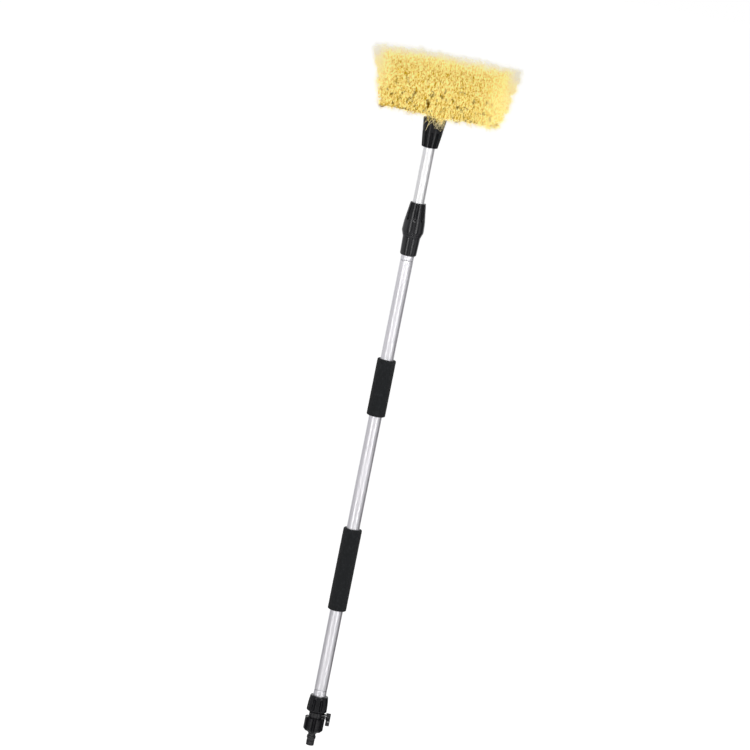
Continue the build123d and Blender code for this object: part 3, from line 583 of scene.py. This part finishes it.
def foamGrip(name, node):
    at, low, high, length = placed(gripShape, node)
    outer = high.x - at.inset
    corners = [(at.bore, 0, at.boreEdge), (outer, 0, at.rim), (outer, length, at.rim),
               (at.bore, length, at.boreEdge)]
    grip = turnedPiece(name, corners, low.z, at)
    growWith(grip, foamTree, {"Material": finishes["foam"]})
    dress(grip, node, "foam")


foamGrip("upperGrip", "upper_foam_grip")
foamGrip("lowerGrip", "lower_foam_grip")
print("tubes and grips made")


# The twist lock

lockNutShape = dict(
    base=0.0171, baseSoft=0.0008, ridge=0.0208, ridgeRise=0.0106, ridgeSoft=0.0012,
    belly=0.0201, bellyRise=0.0275, bellySoft=0.006, waist=0.0179, waistRise=0.0448,
    waistSoft=0.008, top=0.0150, topSoft=0.0011, lip=0.006, lipBore=0.0113,
    rings=(0.0053, 0.0093), ringDepth=0.0009, ringWidth=0.0014, ringFloor=0.6,
    threadBore=0.01525, coneStart=0.0316, coneWide=0.01425, coneEnd=0.05055, coneNarrow=0.01265,
    flutes={"Count": 8, "Half Width": 0.0034, "Depth": 0.0020, "Edge": 0.35, "Inner Radius": 0.0125,
            "Taper": 0.45},
    fluteRise=0.0395, turns=200, spacing=0.0011,
)


def lockNut():
    at, low, high, height = placed(lockNutShape, "lock_nut")
    half = at.ringWidth / 2
    corners = [(at.threadBore, 0, eased), (at.base, 0, at.baseSoft)]

    def slope(level):
        return at.base + (at.ridge - at.base) * level / at.ridgeRise

    for rise in at.rings:
        floor = slope(rise) - at.ringDepth
        corners += [(slope(rise - half), rise - half, crisp), (floor, rise - half * at.ringFloor, fine),
                    (floor, rise + half * at.ringFloor, fine), (slope(rise + half), rise + half, crisp)]
    corners += [
        (at.ridge, at.ridgeRise, at.ridgeSoft), (at.belly, at.bellyRise, at.bellySoft),
        (at.waist, at.waistRise, at.waistSoft), (at.top, height, at.topSoft), (at.lipBore, height, rounded),
        (at.lipBore, height - at.lip, fine), (at.coneNarrow, height - at.lip, fine),
        (at.coneNarrow, at.coneEnd, fine), (at.coneWide, at.coneStart, fine),
        (at.threadBore, at.coneStart, fine),
    ]
    flutesLow = low.z + at.fluteRise
    nut = flutedPiece("lockNut", corners, low.z, at, flutesLow, high.z + pastEnd, "black_plastic")
    dress(nut, "lock_nut", "black_plastic")


lockSleeveShape = dict(
    foot=0.0142, footSoft=0.0006, bevel=0.0156, bevelRise=0.0018, bevelSoft=0.001,
    shoulder=0.0167, shoulderRise=0.0352, thread=0.0152, threadRoot=0.0144, threadFlank=0.0004,
    pitch=0.005, tubeBore=0.01253, tubeEnd=0.025, bore=0.0114,
    wiperBore=0.01263, wiperLow=0.029, wiperHigh=0.032, seatBore=0.01325, seatDepth=0.012,
    turns=96, spacing=0.004,
)


def lockSleeve():
    at, low, high, height = placed(lockSleeveShape, "lock_sleeve")
    seat = height - at.seatDepth
    corners = [(at.tubeBore, 0, fine), (at.foot, 0, at.footSoft), (at.bevel, at.bevelRise, at.bevelSoft),
               (at.shoulder, at.shoulderRise, rounded), (at.thread, at.shoulderRise, fine)]
    for number in range(int((height - at.shoulderRise) / at.pitch)):
        start = at.shoulderRise + at.pitch * (number + 0.5)
        end = start + at.pitch / 2
        corners += [(at.thread, start, fine), (at.threadRoot, start + at.threadFlank, fine),
                    (at.threadRoot, end - at.threadFlank, fine), (at.thread, end, fine)]
    corners += [
        (at.thread, height, eased), (at.seatBore, height, fine), (at.seatBore, seat, crisp),
        (at.bore, seat, crisp), (at.bore, at.wiperHigh, crisp), (at.wiperBore, at.wiperHigh, crisp),
        (at.wiperBore, at.wiperLow, crisp), (at.bore, at.wiperLow, crisp), (at.bore, at.tubeEnd, crisp),
        (at.tubeBore, at.tubeEnd, crisp),
    ]
    dress(turnedPiece("lockSleeve", corners, low.z, at), "lock_sleeve", "black_plastic")


lockNut()
lockSleeve()


# The nut under the head

headNutShape = dict(
    bottom=0.0153, bottomSoft=0.0010, top=0.0225, topSoft=0.0008, lipBore=0.0113, lip=0.005,
    collarBore=0.01285, collarRise=0.0093, rivetBore=0.0137, ledgeRise=0.03925, threadBore=0.01755,
    flutes={"Count": 10, "First Angle": math.pi / 10, "Half Width": 0.0028, "Depth": 0.0017, "Edge": 0.4,
            "Inner Radius": 0.0138},
    fluteTop=0.027, turns=200, spacing=0.0012,
)


def headNut():
    at, low, high, height = placed(headNutShape, "head_nut")
    corners = [
        (at.lipBore, 0, rounded), (at.bottom, 0, at.bottomSoft), (at.top, height, at.topSoft),
        (at.threadBore, height, rounded), (at.threadBore, at.ledgeRise, crisp),
        (at.rivetBore, at.ledgeRise, crisp), (at.rivetBore, at.collarRise, crisp),
        (at.collarBore, at.collarRise, crisp), (at.collarBore, at.lip, crisp), (at.lipBore, at.lip, crisp),
    ]
    flutesHigh = low.z + at.fluteTop
    nut = flutedPiece("headNut", corners, low.z, at, low.z - pastEnd, flutesHigh, "dull_plastic")
    dress(nut, "head_nut", "black_plastic")


headNut()
print("lock and nuts made")


# The pole's lower end

adapterShape = dict(
    top=0.0168, topSoft=0.0008, shoulder=0.0176, shoulderDrop=0.002, shoulderSoft=0.002,
    swell=0.0190, swellDrop=0.015, swellSoft=0.005, foot=0.0195, footDrop=0.0285, footSoft=0.001,
    chamfer=0.0032, chamferSoft=0.0009, base=0.0150,
    tubeBore=0.01253, threadBore=0.01463, tubeDrop=0.0178,
    flutes={"Count": 8, "First Angle": math.pi / 8, "Half Width": 0.0036, "Depth": 0.0011, "Edge": 0.9,
            "Inner Radius": 0.0155},
    fluteDrop=0.009, fluteLength=0.016, turns=200, spacing=0.0009,
)


def poleAdapter():
    at, low, high, height = placed(adapterShape, "pole_end_adapter")
    step = height - at.tubeDrop
    corners = [
        (at.threadBore, 0, fine), (at.base, 0, fine), (at.foot, at.chamfer, at.chamferSoft),
        (at.foot, height - at.footDrop, at.footSoft), (at.swell, height - at.swellDrop, at.swellSoft),
        (at.shoulder, height - at.shoulderDrop, at.shoulderSoft), (at.top, height, at.topSoft),
        (at.tubeBore, height, eased), (at.tubeBore, step, crisp), (at.threadBore, step, crisp),
    ]
    top = high.z - at.fluteDrop
    adapter = flutedPiece("poleAdapter", corners, low.z, at, top - at.fluteLength, top, "dull_plastic")
    dress(adapter, "pole_end_adapter", "black_plastic")


hoseNutShape = dict(
    rib=0.0192, ribTopSoft=0.0014, ribFootSoft=0.0016, foot=0.0156, footSoft=0.0010, taper=0.0040,
    threadBore=0.01325, collarRise=0.00405, collarBore=0.00885,
    flutes={"Count": 8, "Half Width": 0.0034, "Depth": 0.0024, "Edge": 0.5, "Inner Radius": 0.0142},
    turns=240, spacing=0.0009,
)


def hoseNut():
    at, low, high, height = placed(hoseNutShape, "hose_nut")
    corners = [
        (at.collarBore, 0, fine), (at.foot, 0, at.footSoft), (at.rib, at.taper, at.ribFootSoft),
        (at.rib, height, at.ribTopSoft), (at.threadBore, height, fine), (at.threadBore, at.collarRise, crisp),
        (at.collarBore, at.collarRise, crisp),
    ]
    nut = flutedPiece("hoseNut", corners, low.z, at, low.z - pastEnd, high.z + pastEnd, "dull_plastic")
    dress(nut, "hose_nut", "black_plastic")


hoseTailShape = dict(
    bore=0.0048, boreSoft=0.0008, flange=0.0126, flangeHeight=0.003, collar=0.0088,
    collarEnd=0.0107, waist=0.0073, waistLength=0.0044, barrel=0.0086, barrelLength=0.006,
    tip=0.0077, tipSoft=0.0012, ringFloor=0.00555, ringDrop=0.0051, ringHalf=0.00115,
    turns=96, spacing=0.003,
)


def hoseTail():
    at, low, high, height = placed(hoseTailShape, "hose_tail")
    flangeLow = height - at.flangeHeight
    waistTop = height - at.collarEnd
    barrelTop = waistTop - at.waistLength
    tipTop = barrelTop - at.barrelLength
    slope = at.waistLength / 4
    ringLow = tipTop - at.ringDrop - at.ringHalf
    ringHigh = tipTop - at.ringDrop + at.ringHalf
    corners = [
        (at.bore, 0, at.boreSoft), (at.tip, 0, at.tipSoft), (at.tip, ringLow, crisp),
        (at.ringFloor, ringLow, crisp), (at.ringFloor, ringHigh, crisp), (at.tip, ringHigh, crisp),
        (at.tip, tipTop - slope, eased), (at.barrel, tipTop, rounded),
        (at.barrel, barrelTop - slope, rounded), (at.waist, barrelTop, rounded),
        (at.waist, waistTop - slope, rounded), (at.collar, waistTop, rounded), (at.collar, flangeLow, fine),
        (at.flange, flangeLow, fine), (at.flange, height, fine), (at.bore, height, fine),
    ]
    dress(turnedPiece("hoseTail", corners, low.z, at), "hose_tail", "black_plastic")


leverShape = dict(
    bore=0.00303, well=0.00353, seat=0.0062, hubRise=0.0010, hubEdge=0.0006,
    flutes={"Count": 20, "Half Width": 0.0009, "Depth": 0.0007, "Edge": 1.0, "Inner Radius": 0.0045},
    fluteRise=0.0016, turns=160, spacing=0.0016,
    rootHalf=0.005, tipHalf=0.0058, topDrop=0.0042, corner=0.0024, paddleIn=0.0012,
    paddleOut=0.001, rounding=0.0009, roundingStep=0.3,
)


def leverHub():
    at = SimpleNamespace(**leverShape)
    low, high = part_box("valve_lever")
    height = high.x - low.x + at.hubRise
    corners = [
        (at.bore, 0, crisp), (high.y, 0, at.hubEdge), (high.y, height, at.hubEdge), (at.well, height, fine),
        (at.well, at.seat, crisp), (at.bore, at.seat, crisp),
    ]
    hub = flutedPiece("leverHub", corners, 0.0, at, at.fluteRise, height - at.fluteRise, "lever_plastic")
    hub.data.transform(Matrix.Translation((low.x, 0, high.z - high.y)) @ Matrix.Rotation(math.pi / 2, 4, "Y"))
    dress(hub, "valve_lever", "lever_plastic")


def leverPaddle():
    at = SimpleNamespace(**leverShape)
    low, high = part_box("valve_lever")
    root, tip, soft = at.rootHalf, at.tipHalf, at.corner
    top = high.z - high.y - at.topDrop
    outline = softOutline([
        (-root, top, 0), (root, top, 0), (tip, low.z + tip / 2, soft), (tip / 2, low.z, soft),
        (-tip / 2, low.z, soft), (-tip, low.z + tip / 2, soft),
    ])
    middle = Vector((0, (top + low.z) / 2))
    inner = low.x + at.paddleIn
    outer = high.x + at.paddleOut
    bevel = at.rounding * at.roundingStep
    layers = [(inner, at.rounding), (inner + bevel, bevel), (inner + at.rounding, 0),
              (outer - at.rounding, 0), (outer - bevel, bevel), (outer, at.rounding)]
    vertices = []
    for level, inset in layers:
        drawnIn = [point - (point - middle).normalized() * inset for point in outline]
        vertices += [(level, point.x, point.y) for point in drawnIn]
    count = len(outline)
    faces = []
    for row in range(0, len(vertices) - count, count):
        for step in range(count):
            beside = (step + 1) % count
            faces.append((row + step, row + beside, row + count + beside, row + count + step))
    faces += [tuple(range(count)), tuple(range(len(vertices) - count, len(vertices)))]
    dress(newPiece("leverPaddle", vertices, faces), "valve_lever", "lever_plastic")


poleAdapter()
hoseNut()
hoseTail()
leverHub()
leverPaddle()
print("lower end made")


# The kinds of filament that are planted, each with its split ends

filamentShape = dict(
    length=0.066, root=0.00022, split=0.00019, splitShare=0.72, splitVary=(-0.05, 0.05),
    stemShares=(0.4, 0.75), bow=0.05, bowVary=(0.3, 1.0),
    flags=2, flagRoot=0.00014, flagMid=0.00012, flagTip=0.45, flagTurn=(0, 0.6),
    flagSpread=0.24, spreadVary=(0.5, 1.6), flagVary=(0.85, 1.1), bend=(0.6, 0.55), tipBend=0.7,
    tipTurn=(-2, 2), hairs=4, hairFrom=0.86, hairTurn=(0, 0.8), hairLength=0.0062,
    hairVary=(0.6, 1.2), hairLift=0.35, hairRoot=0.00015, hairTip=0.4, kinds=6, seed=23,
)
tubeSides = 3


def sideways(angle, size):
    return Vector((math.cos(angle), math.sin(angle), 0)) * size


def taperedTube(vertices, faces, reaches, path, radii, shares):  # closed at its tip
    first = len(vertices)
    stand = (path[-1] - path[0]).to_track_quat("Z", "Y")
    for place, (point, radius) in enumerate(zip(path, radii)):
        for side in range(tubeSides):
            angle = 2 * math.pi * side / tubeSides
            vertices.append(point + stand @ sideways(angle, 1) * radius)
            reaches.append(shares[place])
    for low in range(first, len(vertices) - tubeSides, tubeSides):
        for side in range(tubeSides):
            beside = (side + 1) % tubeSides
            faces.append((low + side, low + beside, low + tubeSides + beside, low + tubeSides + side))
    faces.append(tuple(range(len(vertices) - tubeSides, len(vertices))))


def filament(number, hairs):
    at = SimpleNamespace(**filamentShape)
    draw = random.Random(at.seed + number)
    splitShare = at.splitShare + draw.uniform(*at.splitVary)
    bow = at.bow * draw.uniform(*at.bowVary)
    vertices, faces, reaches = [], [], []

    def stemPoint(share):
        return Vector((bow * share ** 2 * at.length, 0, share * at.length))

    stemShares = (0, splitShare * at.stemShares[0], splitShare * at.stemShares[1], splitShare)
    radii = [at.root + (at.split - at.root) * share for share in stemShares]
    taperedTube(vertices, faces, reaches, [stemPoint(share) for share in stemShares], radii, stemShares)
    flags = []
    for flag in range(at.flags):
        angle = 2 * math.pi * (flag + draw.uniform(*at.flagTurn)) / at.flags
        spread = at.flagSpread * draw.uniform(*at.spreadVary)
        start = stemPoint(splitShare)
        rest = (1 - splitShare) * at.length * draw.uniform(*at.flagVary)
        middle = start + (sideways(angle, spread * at.bend[0]) + Vector((0, 0, at.bend[1]))) * rest
        turned = sideways(angle + draw.uniform(*at.tipTurn), spread * at.tipBend)
        end = start + (sideways(angle, spread) + turned + Vector((0, 0, 1))) * rest
        radii = (at.flagRoot, at.flagMid, at.flagMid * at.flagTip)
        shares = (splitShare, (1 + splitShare) / 2, 1.0)
        taperedTube(vertices, faces, reaches, [start, middle, end], radii, shares)
        flags.append((middle, end))
    for hair in range(hairs):
        share = draw.uniform(at.hairFrom, 1.0)
        middle, end = flags[hair % len(flags)]
        start = middle.lerp(end, (share * 2 - 1 - splitShare) / (1 - splitShare))
        angle = 2 * math.pi * (hair + draw.uniform(*at.hairTurn)) / at.hairs
        length = at.hairLength * draw.uniform(*at.hairVary)
        tip = start + sideways(angle, length) + Vector((0, 0, length * at.hairLift))
        radii = (at.hairRoot, at.hairRoot * at.hairTip)
        taperedTube(vertices, faces, reaches, [start, tip], radii, (share, 1.0))
    piece = newPiece("filament" + str(number), vertices, faces)
    reach = piece.data.attributes.new("reach", "FLOAT", "POINT")
    reach.data.foreach_set("value", reaches)
    return piece


def kindsOf(name, first, hairs):
    kinds = bpy.data.collections.new(name)
    for number in range(first, first + filamentShape["kinds"]):
        piece = filament(number, hairs)
        sceneObjects.unlink(piece)
        kinds.objects.link(piece)
    return kinds


filamentKinds = kindsOf("filamentKinds", 0, filamentShape["hairs"])
strayKinds = kindsOf("strayKinds", filamentShape["kinds"], 0)


# The brush head's bristles

bristleShape = {
    "Columns": 46, "Rows": 16, "Filaments": 25, "First Row": 0, "Last Row": 1, "Seed": 0,
    "Upper Half": headShape["upperHalf"] - headShape["wall"] - headShape["margin"],
    "Lower Half": headShape["lowerHalf"] - headShape["wall"] - headShape["margin"],
    "Half Width": headShape["halfWidth"] - headShape["wall"] - headShape["margin"],
    "Upper Spread": math.radians(22.5), "Lower Spread": math.radians(38),
    "Upper End Spread": math.radians(24), "Lower End Spread": math.radians(16),
    "Spread Power": 1.5, "Left Corner Drop": 0.35, "Lower Left Drop": 0.05,
    "Lower Right Spread": math.radians(27), "Side Drift": math.radians(2.0),
    "End Thickening": 0.8, "Right Reach": 0.1482, "End Calm": 0.8,
    "Tuft Radius": 0.0023, "Fan": 13.0, "Jitter": 0.045, "Tuft Sway": 0.075, "Length Spread": 0.10,
    "Left Limit": -1.1, "Right Limit": 1.1, "Tip Softness": 0.85, "Paleness": 0.0, "Thickness": 1.0,
    "Clump Scale": 95.0, "Clump Depth": 0.011, "Curl Scale": 330.0, "Curl Depth": 0.004,
    "Outlet Pitch": 2 * headShape["lowerHalf"] / headShape["outlets"], "Outlet Gap": 0.0042,
    "Head Tilt": headTilt, "Head Reach": -headReach, "Head Rise": headShape["rise"],
}
strayShape = {
    "Filaments": 6, "Left Limit": -0.05, "Right Limit": 0.17, "Lower Spread": math.radians(49),
    "Jitter": 0.15, "Tuft Sway": 0.2, "Paleness": 1.0, "Thickness": 2.4, "Clump Depth": 0.004,
    "Curl Depth": 0.002, "Filament Kinds": strayKinds, "Seed": 5,
}
plantingShape = dict(step=2, fringeRows=4, seed=7, seedPerRow=20, upperClumps=0.5)
bristleEdges = dict(  # where each effect starts and ends, as shares of half the head or of a bristle
    thicker=(0.78, 0.98), paleTop=(0.7, 1.0), paleSide=(0.86, 1.0), paleHigh=(-0.9, 0.4), soft=(0.3, 0.9),
)

bristleTree, tree, given = newNodeTree("bristleField", {**bristleShape, "Filament Kinds": filamentKinds})


def chance(step, low=0.0, high=1.0):  # a random value for each point
    inputs = {2: low, 3: high, "Seed": given["Seed"] + step}
    return tree.add("FunctionNodeRandomValue", {"data_type": "FLOAT"}, inputs, 1)


grid = tree.add("GeometryNodeMeshGrid", None,
                {"Size X": 2.0, "Size Y": 2.0, "Vertices X": given["Columns"], "Vertices Y": given["Rows"]})
tufts = tree.add("GeometryNodeMeshToPoints", None, {"Mesh": grid})
spot = tree.add("GeometryNodeInputPosition")
spotX = spot.part("X")
spotY = spot.part("Y")
row = ((spotY + 1) / 2 * (given["Rows"] - 1)).maths("ROUND")
stagger = (row.maths("MODULO", 2.0) - 0.5) / given["Columns"]
tufts = keep(tree, tufts, {
    "along": spotX * (1 - 0.5 / given["Columns"]) + stagger, "across": spotY,
    "swayAlong": chance(9, -1.0), "swayAcross": chance(10, -1.0),
})
outside = (row - given["First Row"]).maths("LESS_THAN", -0.5)
outside = outside + (row - given["Last Row"]).maths("GREATER_THAN", 0.5)
outside = outside + spotX.maths("LESS_THAN", given["Left Limit"])
outside = outside + spotX.maths("GREATER_THAN", given["Right Limit"])
tufts = tree.add("GeometryNodeDeleteGeometry", None, {"Geometry": tufts, "Selection": outside})
endward = kept(tree, "along").maths("ABSOLUTE").between(*bristleEdges["thicker"])
amount = given["Filaments"] * (1 + endward * given["End Thickening"])
strands = tree.add("GeometryNodeDuplicateElements", {"domain": "POINT"},
                   {"Geometry": tufts, "Amount": amount})

along = kept(tree, "along")
across = kept(tree, "across")
endness = along.maths("ABSOLUTE")
span = given["Lower Half"] + (given["Upper Half"] - given["Lower Half"]) * (across + 1) / 2
angle = chance(0, 0.0, 2 * math.pi)
fromMiddle = chance(1).maths("SQRT")
offset = joined(tree, angle.maths("COSINE"), angle.maths("SINE")) * fromMiddle
rootPlace = joined(tree, along * span, across * given["Half Width"]) + offset * given["Tuft Radius"]

above = across.maths("GREATER_THAN", 0.0)
lowerLean = (1 - above) * given["Lower Spread"] * (across.maths("ABSOLUTE") ** given["Spread Power"])
lean = above * given["Upper Spread"] * across - lowerLean
leftward = along.maths("LESS_THAN", 0.0)
drop = given["Lower Left Drop"] + above * (given["Left Corner Drop"] - given["Lower Left Drop"])
lean = lean * (1 - leftward * drop * endness ** 3.0)
rightSpread = given["Lower Right Spread"]
lowerSpread = rightSpread + leftward * (given["Lower End Spread"] - rightSpread)
endSpread = lowerSpread + (given["Upper End Spread"] - lowerSpread) * (across + 1) / 2
turn = along.maths("SIGN") * endSpread * endness ** given["Spread Power"] + given["Side Drift"]
straight = joined(tree, turn.maths("TANGENT"), lean.maths("TANGENT"), 1.0)
calm = 1 - along ** 4.0 * given["End Calm"]
jitter = joined(tree, chance(2, -1.0) * calm, chance(3, -1.0)) * given["Jitter"]
sway = joined(tree, kept(tree, "swayAlong") * calm, kept(tree, "swayAcross")) * given["Tuft Sway"]
run = straight.maths("NORMALIZE") + offset * given["Tuft Radius"] * given["Fan"] + jitter + sway

spin = tree.add("FunctionNodeAxisAngleToRotation", None,
                {"Axis": (0, 0, 1), "Angle": chance(4, 0.0, 2 * math.pi)})
aim = tree.add("FunctionNodeAlignRotationToVector", {"axis": "Z"}, {"Vector": run})
facing = tree.add("FunctionNodeRotateRotation", {"rotation_space": "LOCAL"},
                  {"Rotation": aim, "Rotate By": spin})
size = 1 - chance(5) ** 2.0 * given["Length Spread"]
wide = size * given["Thickness"]
upperEdge = across.between(*bristleEdges["paleTop"])
sideEdge = endness.between(*bristleEdges["paleSide"]) * across.between(*bristleEdges["paleHigh"])
strands = keep(tree, strands, {
    "run": run, "tone": chance(6),
    "pale": upperEdge.maths("MAXIMUM", sideEdge).maths("MAXIMUM", given["Paleness"]),
})
strands = tree.add("GeometryNodeSetPosition", None, {"Geometry": strands, "Position": rootPlace})
outletAt = spotX / given["Outlet Pitch"] - 0.5
fromOutlet = (outletAt - outletAt.maths("ROUND")) * given["Outlet Pitch"]
overOutlet = joined(tree, fromOutlet, spotY).maths("LENGTH").maths("LESS_THAN", given["Outlet Gap"])
strands = tree.add("GeometryNodeDeleteGeometry", None, {"Geometry": strands, "Selection": overOutlet})

kinds = tree.add("GeometryNodeCollectionInfo", None,
                 {"Collection": given["Filament Kinds"], "Separate Children": True, "Reset Children": True})
kind = tree.add("FunctionNodeRandomValue", {"data_type": "INT"},
                {4: 0, 5: filamentShape["kinds"] - 1, "Seed": given["Seed"] + 8}, 2)
planted = tree.add("GeometryNodeInstanceOnPoints", None,
                   {"Points": strands, "Instance": kinds, "Pick Instance": True, "Instance Index": kind,
                    "Rotation": facing, "Scale": joined(tree, wide, wide, size)})
field = tree.add("GeometryNodeRealizeInstances", None, {0: planted})
reach = kept(tree, "reach")
clumps = tree.grain(spot, given["Clump Scale"], 1.0, 1) - 0.5
curls = tree.grain(spot, given["Curl Scale"], 1.0, 1) - 0.5
clumping = clumps * (reach ** 2.0 * given["Clump Depth"])
curling = curls * (reach ** 4.0 * given["Curl Depth"])
field = moved(tree, field, clumping + curling)
tooFar = (given["Right Reach"] - spotX).maths("MINIMUM", 0.0)
field = moved(tree, field, joined(tree, tooFar, 0.0))
headPlace = joined(tree, 0.0, given["Head Reach"], given["Head Rise"])
headTurn = joined(tree, given["Head Tilt"], 0.0)
atHead = tree.add("GeometryNodeTransform", None,
                  {"Geometry": field, "Translation": headPlace, "Rotation": headTurn})
outward = tree.add("ShaderNodeVectorRotate", {"rotation_type": "X_AXIS"},
                   {"Vector": kept(tree, "run", "FLOAT_VECTOR"), "Angle": given["Head Tilt"]})
soft = reach.between(*bristleEdges["soft"]) * given["Tip Softness"]  # tips take the light as one surface
shaded = tree.add("GeometryNodeInputNormal") * (1 - soft) + outward.maths("NORMALIZE") * soft
soothed = tree.add("GeometryNodeSetMeshNormal", {"mode": "FREE"}, {"Mesh": atHead, "Custom Normal": shaded})
endNodeTree(tree, given, soothed)


def plant(name, finish, values):
    piece = newPiece(name, [(0, 0, 0)], [])
    common = {**bristleShape, "Filament Kinds": filamentKinds, "Material": finishes[finish]}
    growWith(piece, bristleTree, {**common, **values})
    dress(piece, "bristles", "yellow_bristle")
    return len(piece.data.polygons)


def bristleRows(first):
    at = SimpleNamespace(**plantingShape)
    rows = bristleShape["Rows"]
    clumps = at.upperClumps + (1 - at.upperClumps) * (1 - first / rows)  # the lower rows clump more
    finish = "bristle_fringe" if first >= rows - at.fringeRows else "yellow_bristle"
    return plant("bristleRows" + str(first), finish, {
        "First Row": first, "Last Row": first + at.step - 1, "Seed": at.seed + first * at.seedPerRow,
        "Clump Depth": bristleShape["Clump Depth"] * clumps,
    })


faceCount = sum(bristleRows(first) for first in range(0, bristleShape["Rows"], plantingShape["step"]))
faceCount += plant("strayBristles", "yellow_bristle", {**strayShape, "First Row": 0, "Last Row": 0})
for piece in [*filamentKinds.objects, *strayKinds.objects]:
    bpy.data.objects.remove(piece)
print("bristles planted, faces:", faceCount)


# Everything else keeps its shape and gets its finish

for part in frame["record"]["subparts"]:
    node = frame["nodes"][part["node"]]
    node.data.materials.clear()
    node.data.materials.append(finishes[part["material_slot"]])
print("finishes laid on")


# Studio

studio = dict(
    target=(-0.01621, 0.00013, 0.18665), distance=10.0, elevation=10.5, poleLean=11.33,
    lens=255.3, sensor=36.0, farEnd=100, fill=0.3, skyFade=(-0.4, 0.25),
    floorDrop=0.6, floorSize=40.0, floorColour=(0.88, 0.88, 0.88, 1), floorGlow=0.75,
    floorFade=(-0.5, 1.0),
)


def seenAsWhite(tree, behind):  # by the camera, and by reflections of the background
    rays = tree.add("ShaderNodeLightPath", output="Is Camera Ray")
    others = [Wire(tree, rays.socket.node.outputs[name]) for name in ("Is Glossy Ray", "Is Transmission Ray")]
    return rays.maths("MAXIMUM", others[0].maths("MAXIMUM", others[1]) * behind)


def whiteWorld():
    world = bpy.data.worlds.new("studio")
    bpy.context.scene.world = world
    tree = clearedTree(world)
    behind = tree.add("ShaderNodeTexCoord", output="Generated").part("Y").between(*studio["skyFade"])
    strength = studio["fill"] + seenAsWhite(tree, behind) * (1 - studio["fill"])
    shader = tree.add("ShaderNodeBackground", None, {"Color": (1, 1, 1, 1), "Strength": strength})
    tree.add("ShaderNodeOutputWorld", None, {"Surface": shader})


def flatPiece(name, width, depth, place, facing):
    corners = [(-width / 2, -depth / 2, 0), (width / 2, -depth / 2, 0), (width / 2, depth / 2, 0),
               (-width / 2, depth / 2, 0)]
    piece = newPiece(name, corners, [(0, 1, 2, 3)])
    piece.data.transform(Matrix.Translation(place) @ facing)
    return piece


def paleFloor():
    low, high = cadBounds
    size = studio["floorSize"]
    floor = flatPiece("floor", size, size, (0, 0, low.z - studio["floorDrop"]), Matrix.Identity(4))
    made = bpy.data.materials.new("paleFloor")
    tree = clearedTree(made)
    behind = tree.add("ShaderNodeTexCoord", output="Object").part("Y").between(*studio["floorFade"])
    matt = tree.add("ShaderNodeBsdfDiffuse", None, {"Color": studio["floorColour"]})
    glow = tree.add("ShaderNodeEmission", None, {"Strength": seenAsWhite(tree, behind) * studio["floorGlow"]})
    both = tree.add("ShaderNodeAddShader", None, {0: matt, 1: glow})
    tree.add("ShaderNodeOutputMaterial", None, {"Surface": both})
    floor.data.materials.append(made)


cardShape = dict(
    size=(0.9, 2.4), reach=(-0.6, 0.6), lowHalf=0.42, highHalf=0.30, edge=0.82,
    colour=(0.98, 0.98, 1, 1),
)
cards = {
    "rightCard": dict(place=(0.5, 0.21), shades=(0.0, 0.14), lean=-0.15),
    "leftCard": dict(place=(-0.5, 0.20), shades=(0.38, 0.75), lean=0.0),
}


def shadeCard(name, place, shades, lean):
    # A card beside the pole, dark along its middle, which only reflections show
    at = SimpleNamespace(**cardShape)
    level = studio["target"][2]
    facing = Matrix.Rotation(math.radians(90), 4, "Z") @ Matrix.Rotation(math.radians(90), 4, "X")
    card = flatPiece(name, *at.size, (*place, level), Matrix.Shear("XY", 4, (0, lean)) @ facing)
    made = bpy.data.materials.new(name)
    tree = clearedTree(made)
    spot = tree.add("ShaderNodeTexCoord", output="Object")
    middle = (spot.part("Z") - level) * lean + place[1]
    upward = spot.part("Z").between(*at.reach)
    half = at.lowHalf + upward * (at.highHalf - at.lowHalf)
    aside = ((spot.part("Y") - middle).maths("ABSOLUTE") / half).maths("MINIMUM", 1.0)
    shade = shades[0] + upward * (shades[1] - shades[0])
    strength = shade + aside * aside * (at.edge - shade)
    glow = tree.add("ShaderNodeEmission", None, {"Color": at.colour, "Strength": strength})
    tree.add("ShaderNodeOutputMaterial", None, {"Surface": glow})
    card.data.materials.append(made)
    for rays in ("camera", "diffuse", "shadow", "transmission"):
        setattr(card, "visible_" + rays, False)


strip = dict(away=3.0, height=0.5, aim=0.25, size=(0.42, 3.2), glow=4.9)
lamps = {
    "leftStrip": dict(strip, turn=-34),
    "rightStrip": dict(strip, turn=36),
    "frontStrip": dict(strip, turn=1, size=(0.9, 3.2), glow=0.5),
    "highFront": dict(turn=6, away=3.4, height=2.3, aim=0.5, size=(1.6, 1.6), glow=12.0),
}


def softLamp(name, turn, away, height, aim, size, glow):
    light = bpy.data.lights.new(name, "AREA")
    light.shape = "RECTANGLE"
    light.size, light.size_y = size
    light.energy = glow * math.pi * light.size * light.size_y
    lamp = bpy.data.objects.new(name, light)
    sceneObjects.link(lamp)
    angle = math.radians(turn)
    lamp.location = (away * math.sin(angle), -away * math.cos(angle), height)
    lamp.rotation_euler = (lamp.location - Vector((0, 0, aim))).to_track_quat("Z", "Y").to_euler()


def photoCamera():
    camera = bpy.data.objects.new("camera", bpy.data.cameras.new("camera"))
    sceneObjects.link(camera)
    bpy.context.scene.camera = camera
    camera.data.lens = studio["lens"]
    camera.data.sensor_width = studio["sensor"]
    camera.data.clip_end = studio["farEnd"]
    rise = math.radians(studio["elevation"])
    back = Vector((0, -math.cos(rise), math.sin(rise)))
    place = Vector(studio["target"]) + back * studio["distance"]
    upright = Matrix((Vector((1, 0, 0)), Vector((0, math.sin(rise), math.cos(rise))), back)).transposed()
    leaning = upright @ Matrix.Rotation(math.radians(studio["poleLean"]), 3, "Z")
    camera.matrix_world = Matrix.Translation(place) @ leaning.to_4x4()


whiteWorld()
paleFloor()
for name, values in cards.items():
    shadeCard(name, **values)
for name, values in lamps.items():
    softLamp(name, **values)
photoCamera()
bpy.context.scene.view_settings.view_transform = "Standard"
print("studio set")
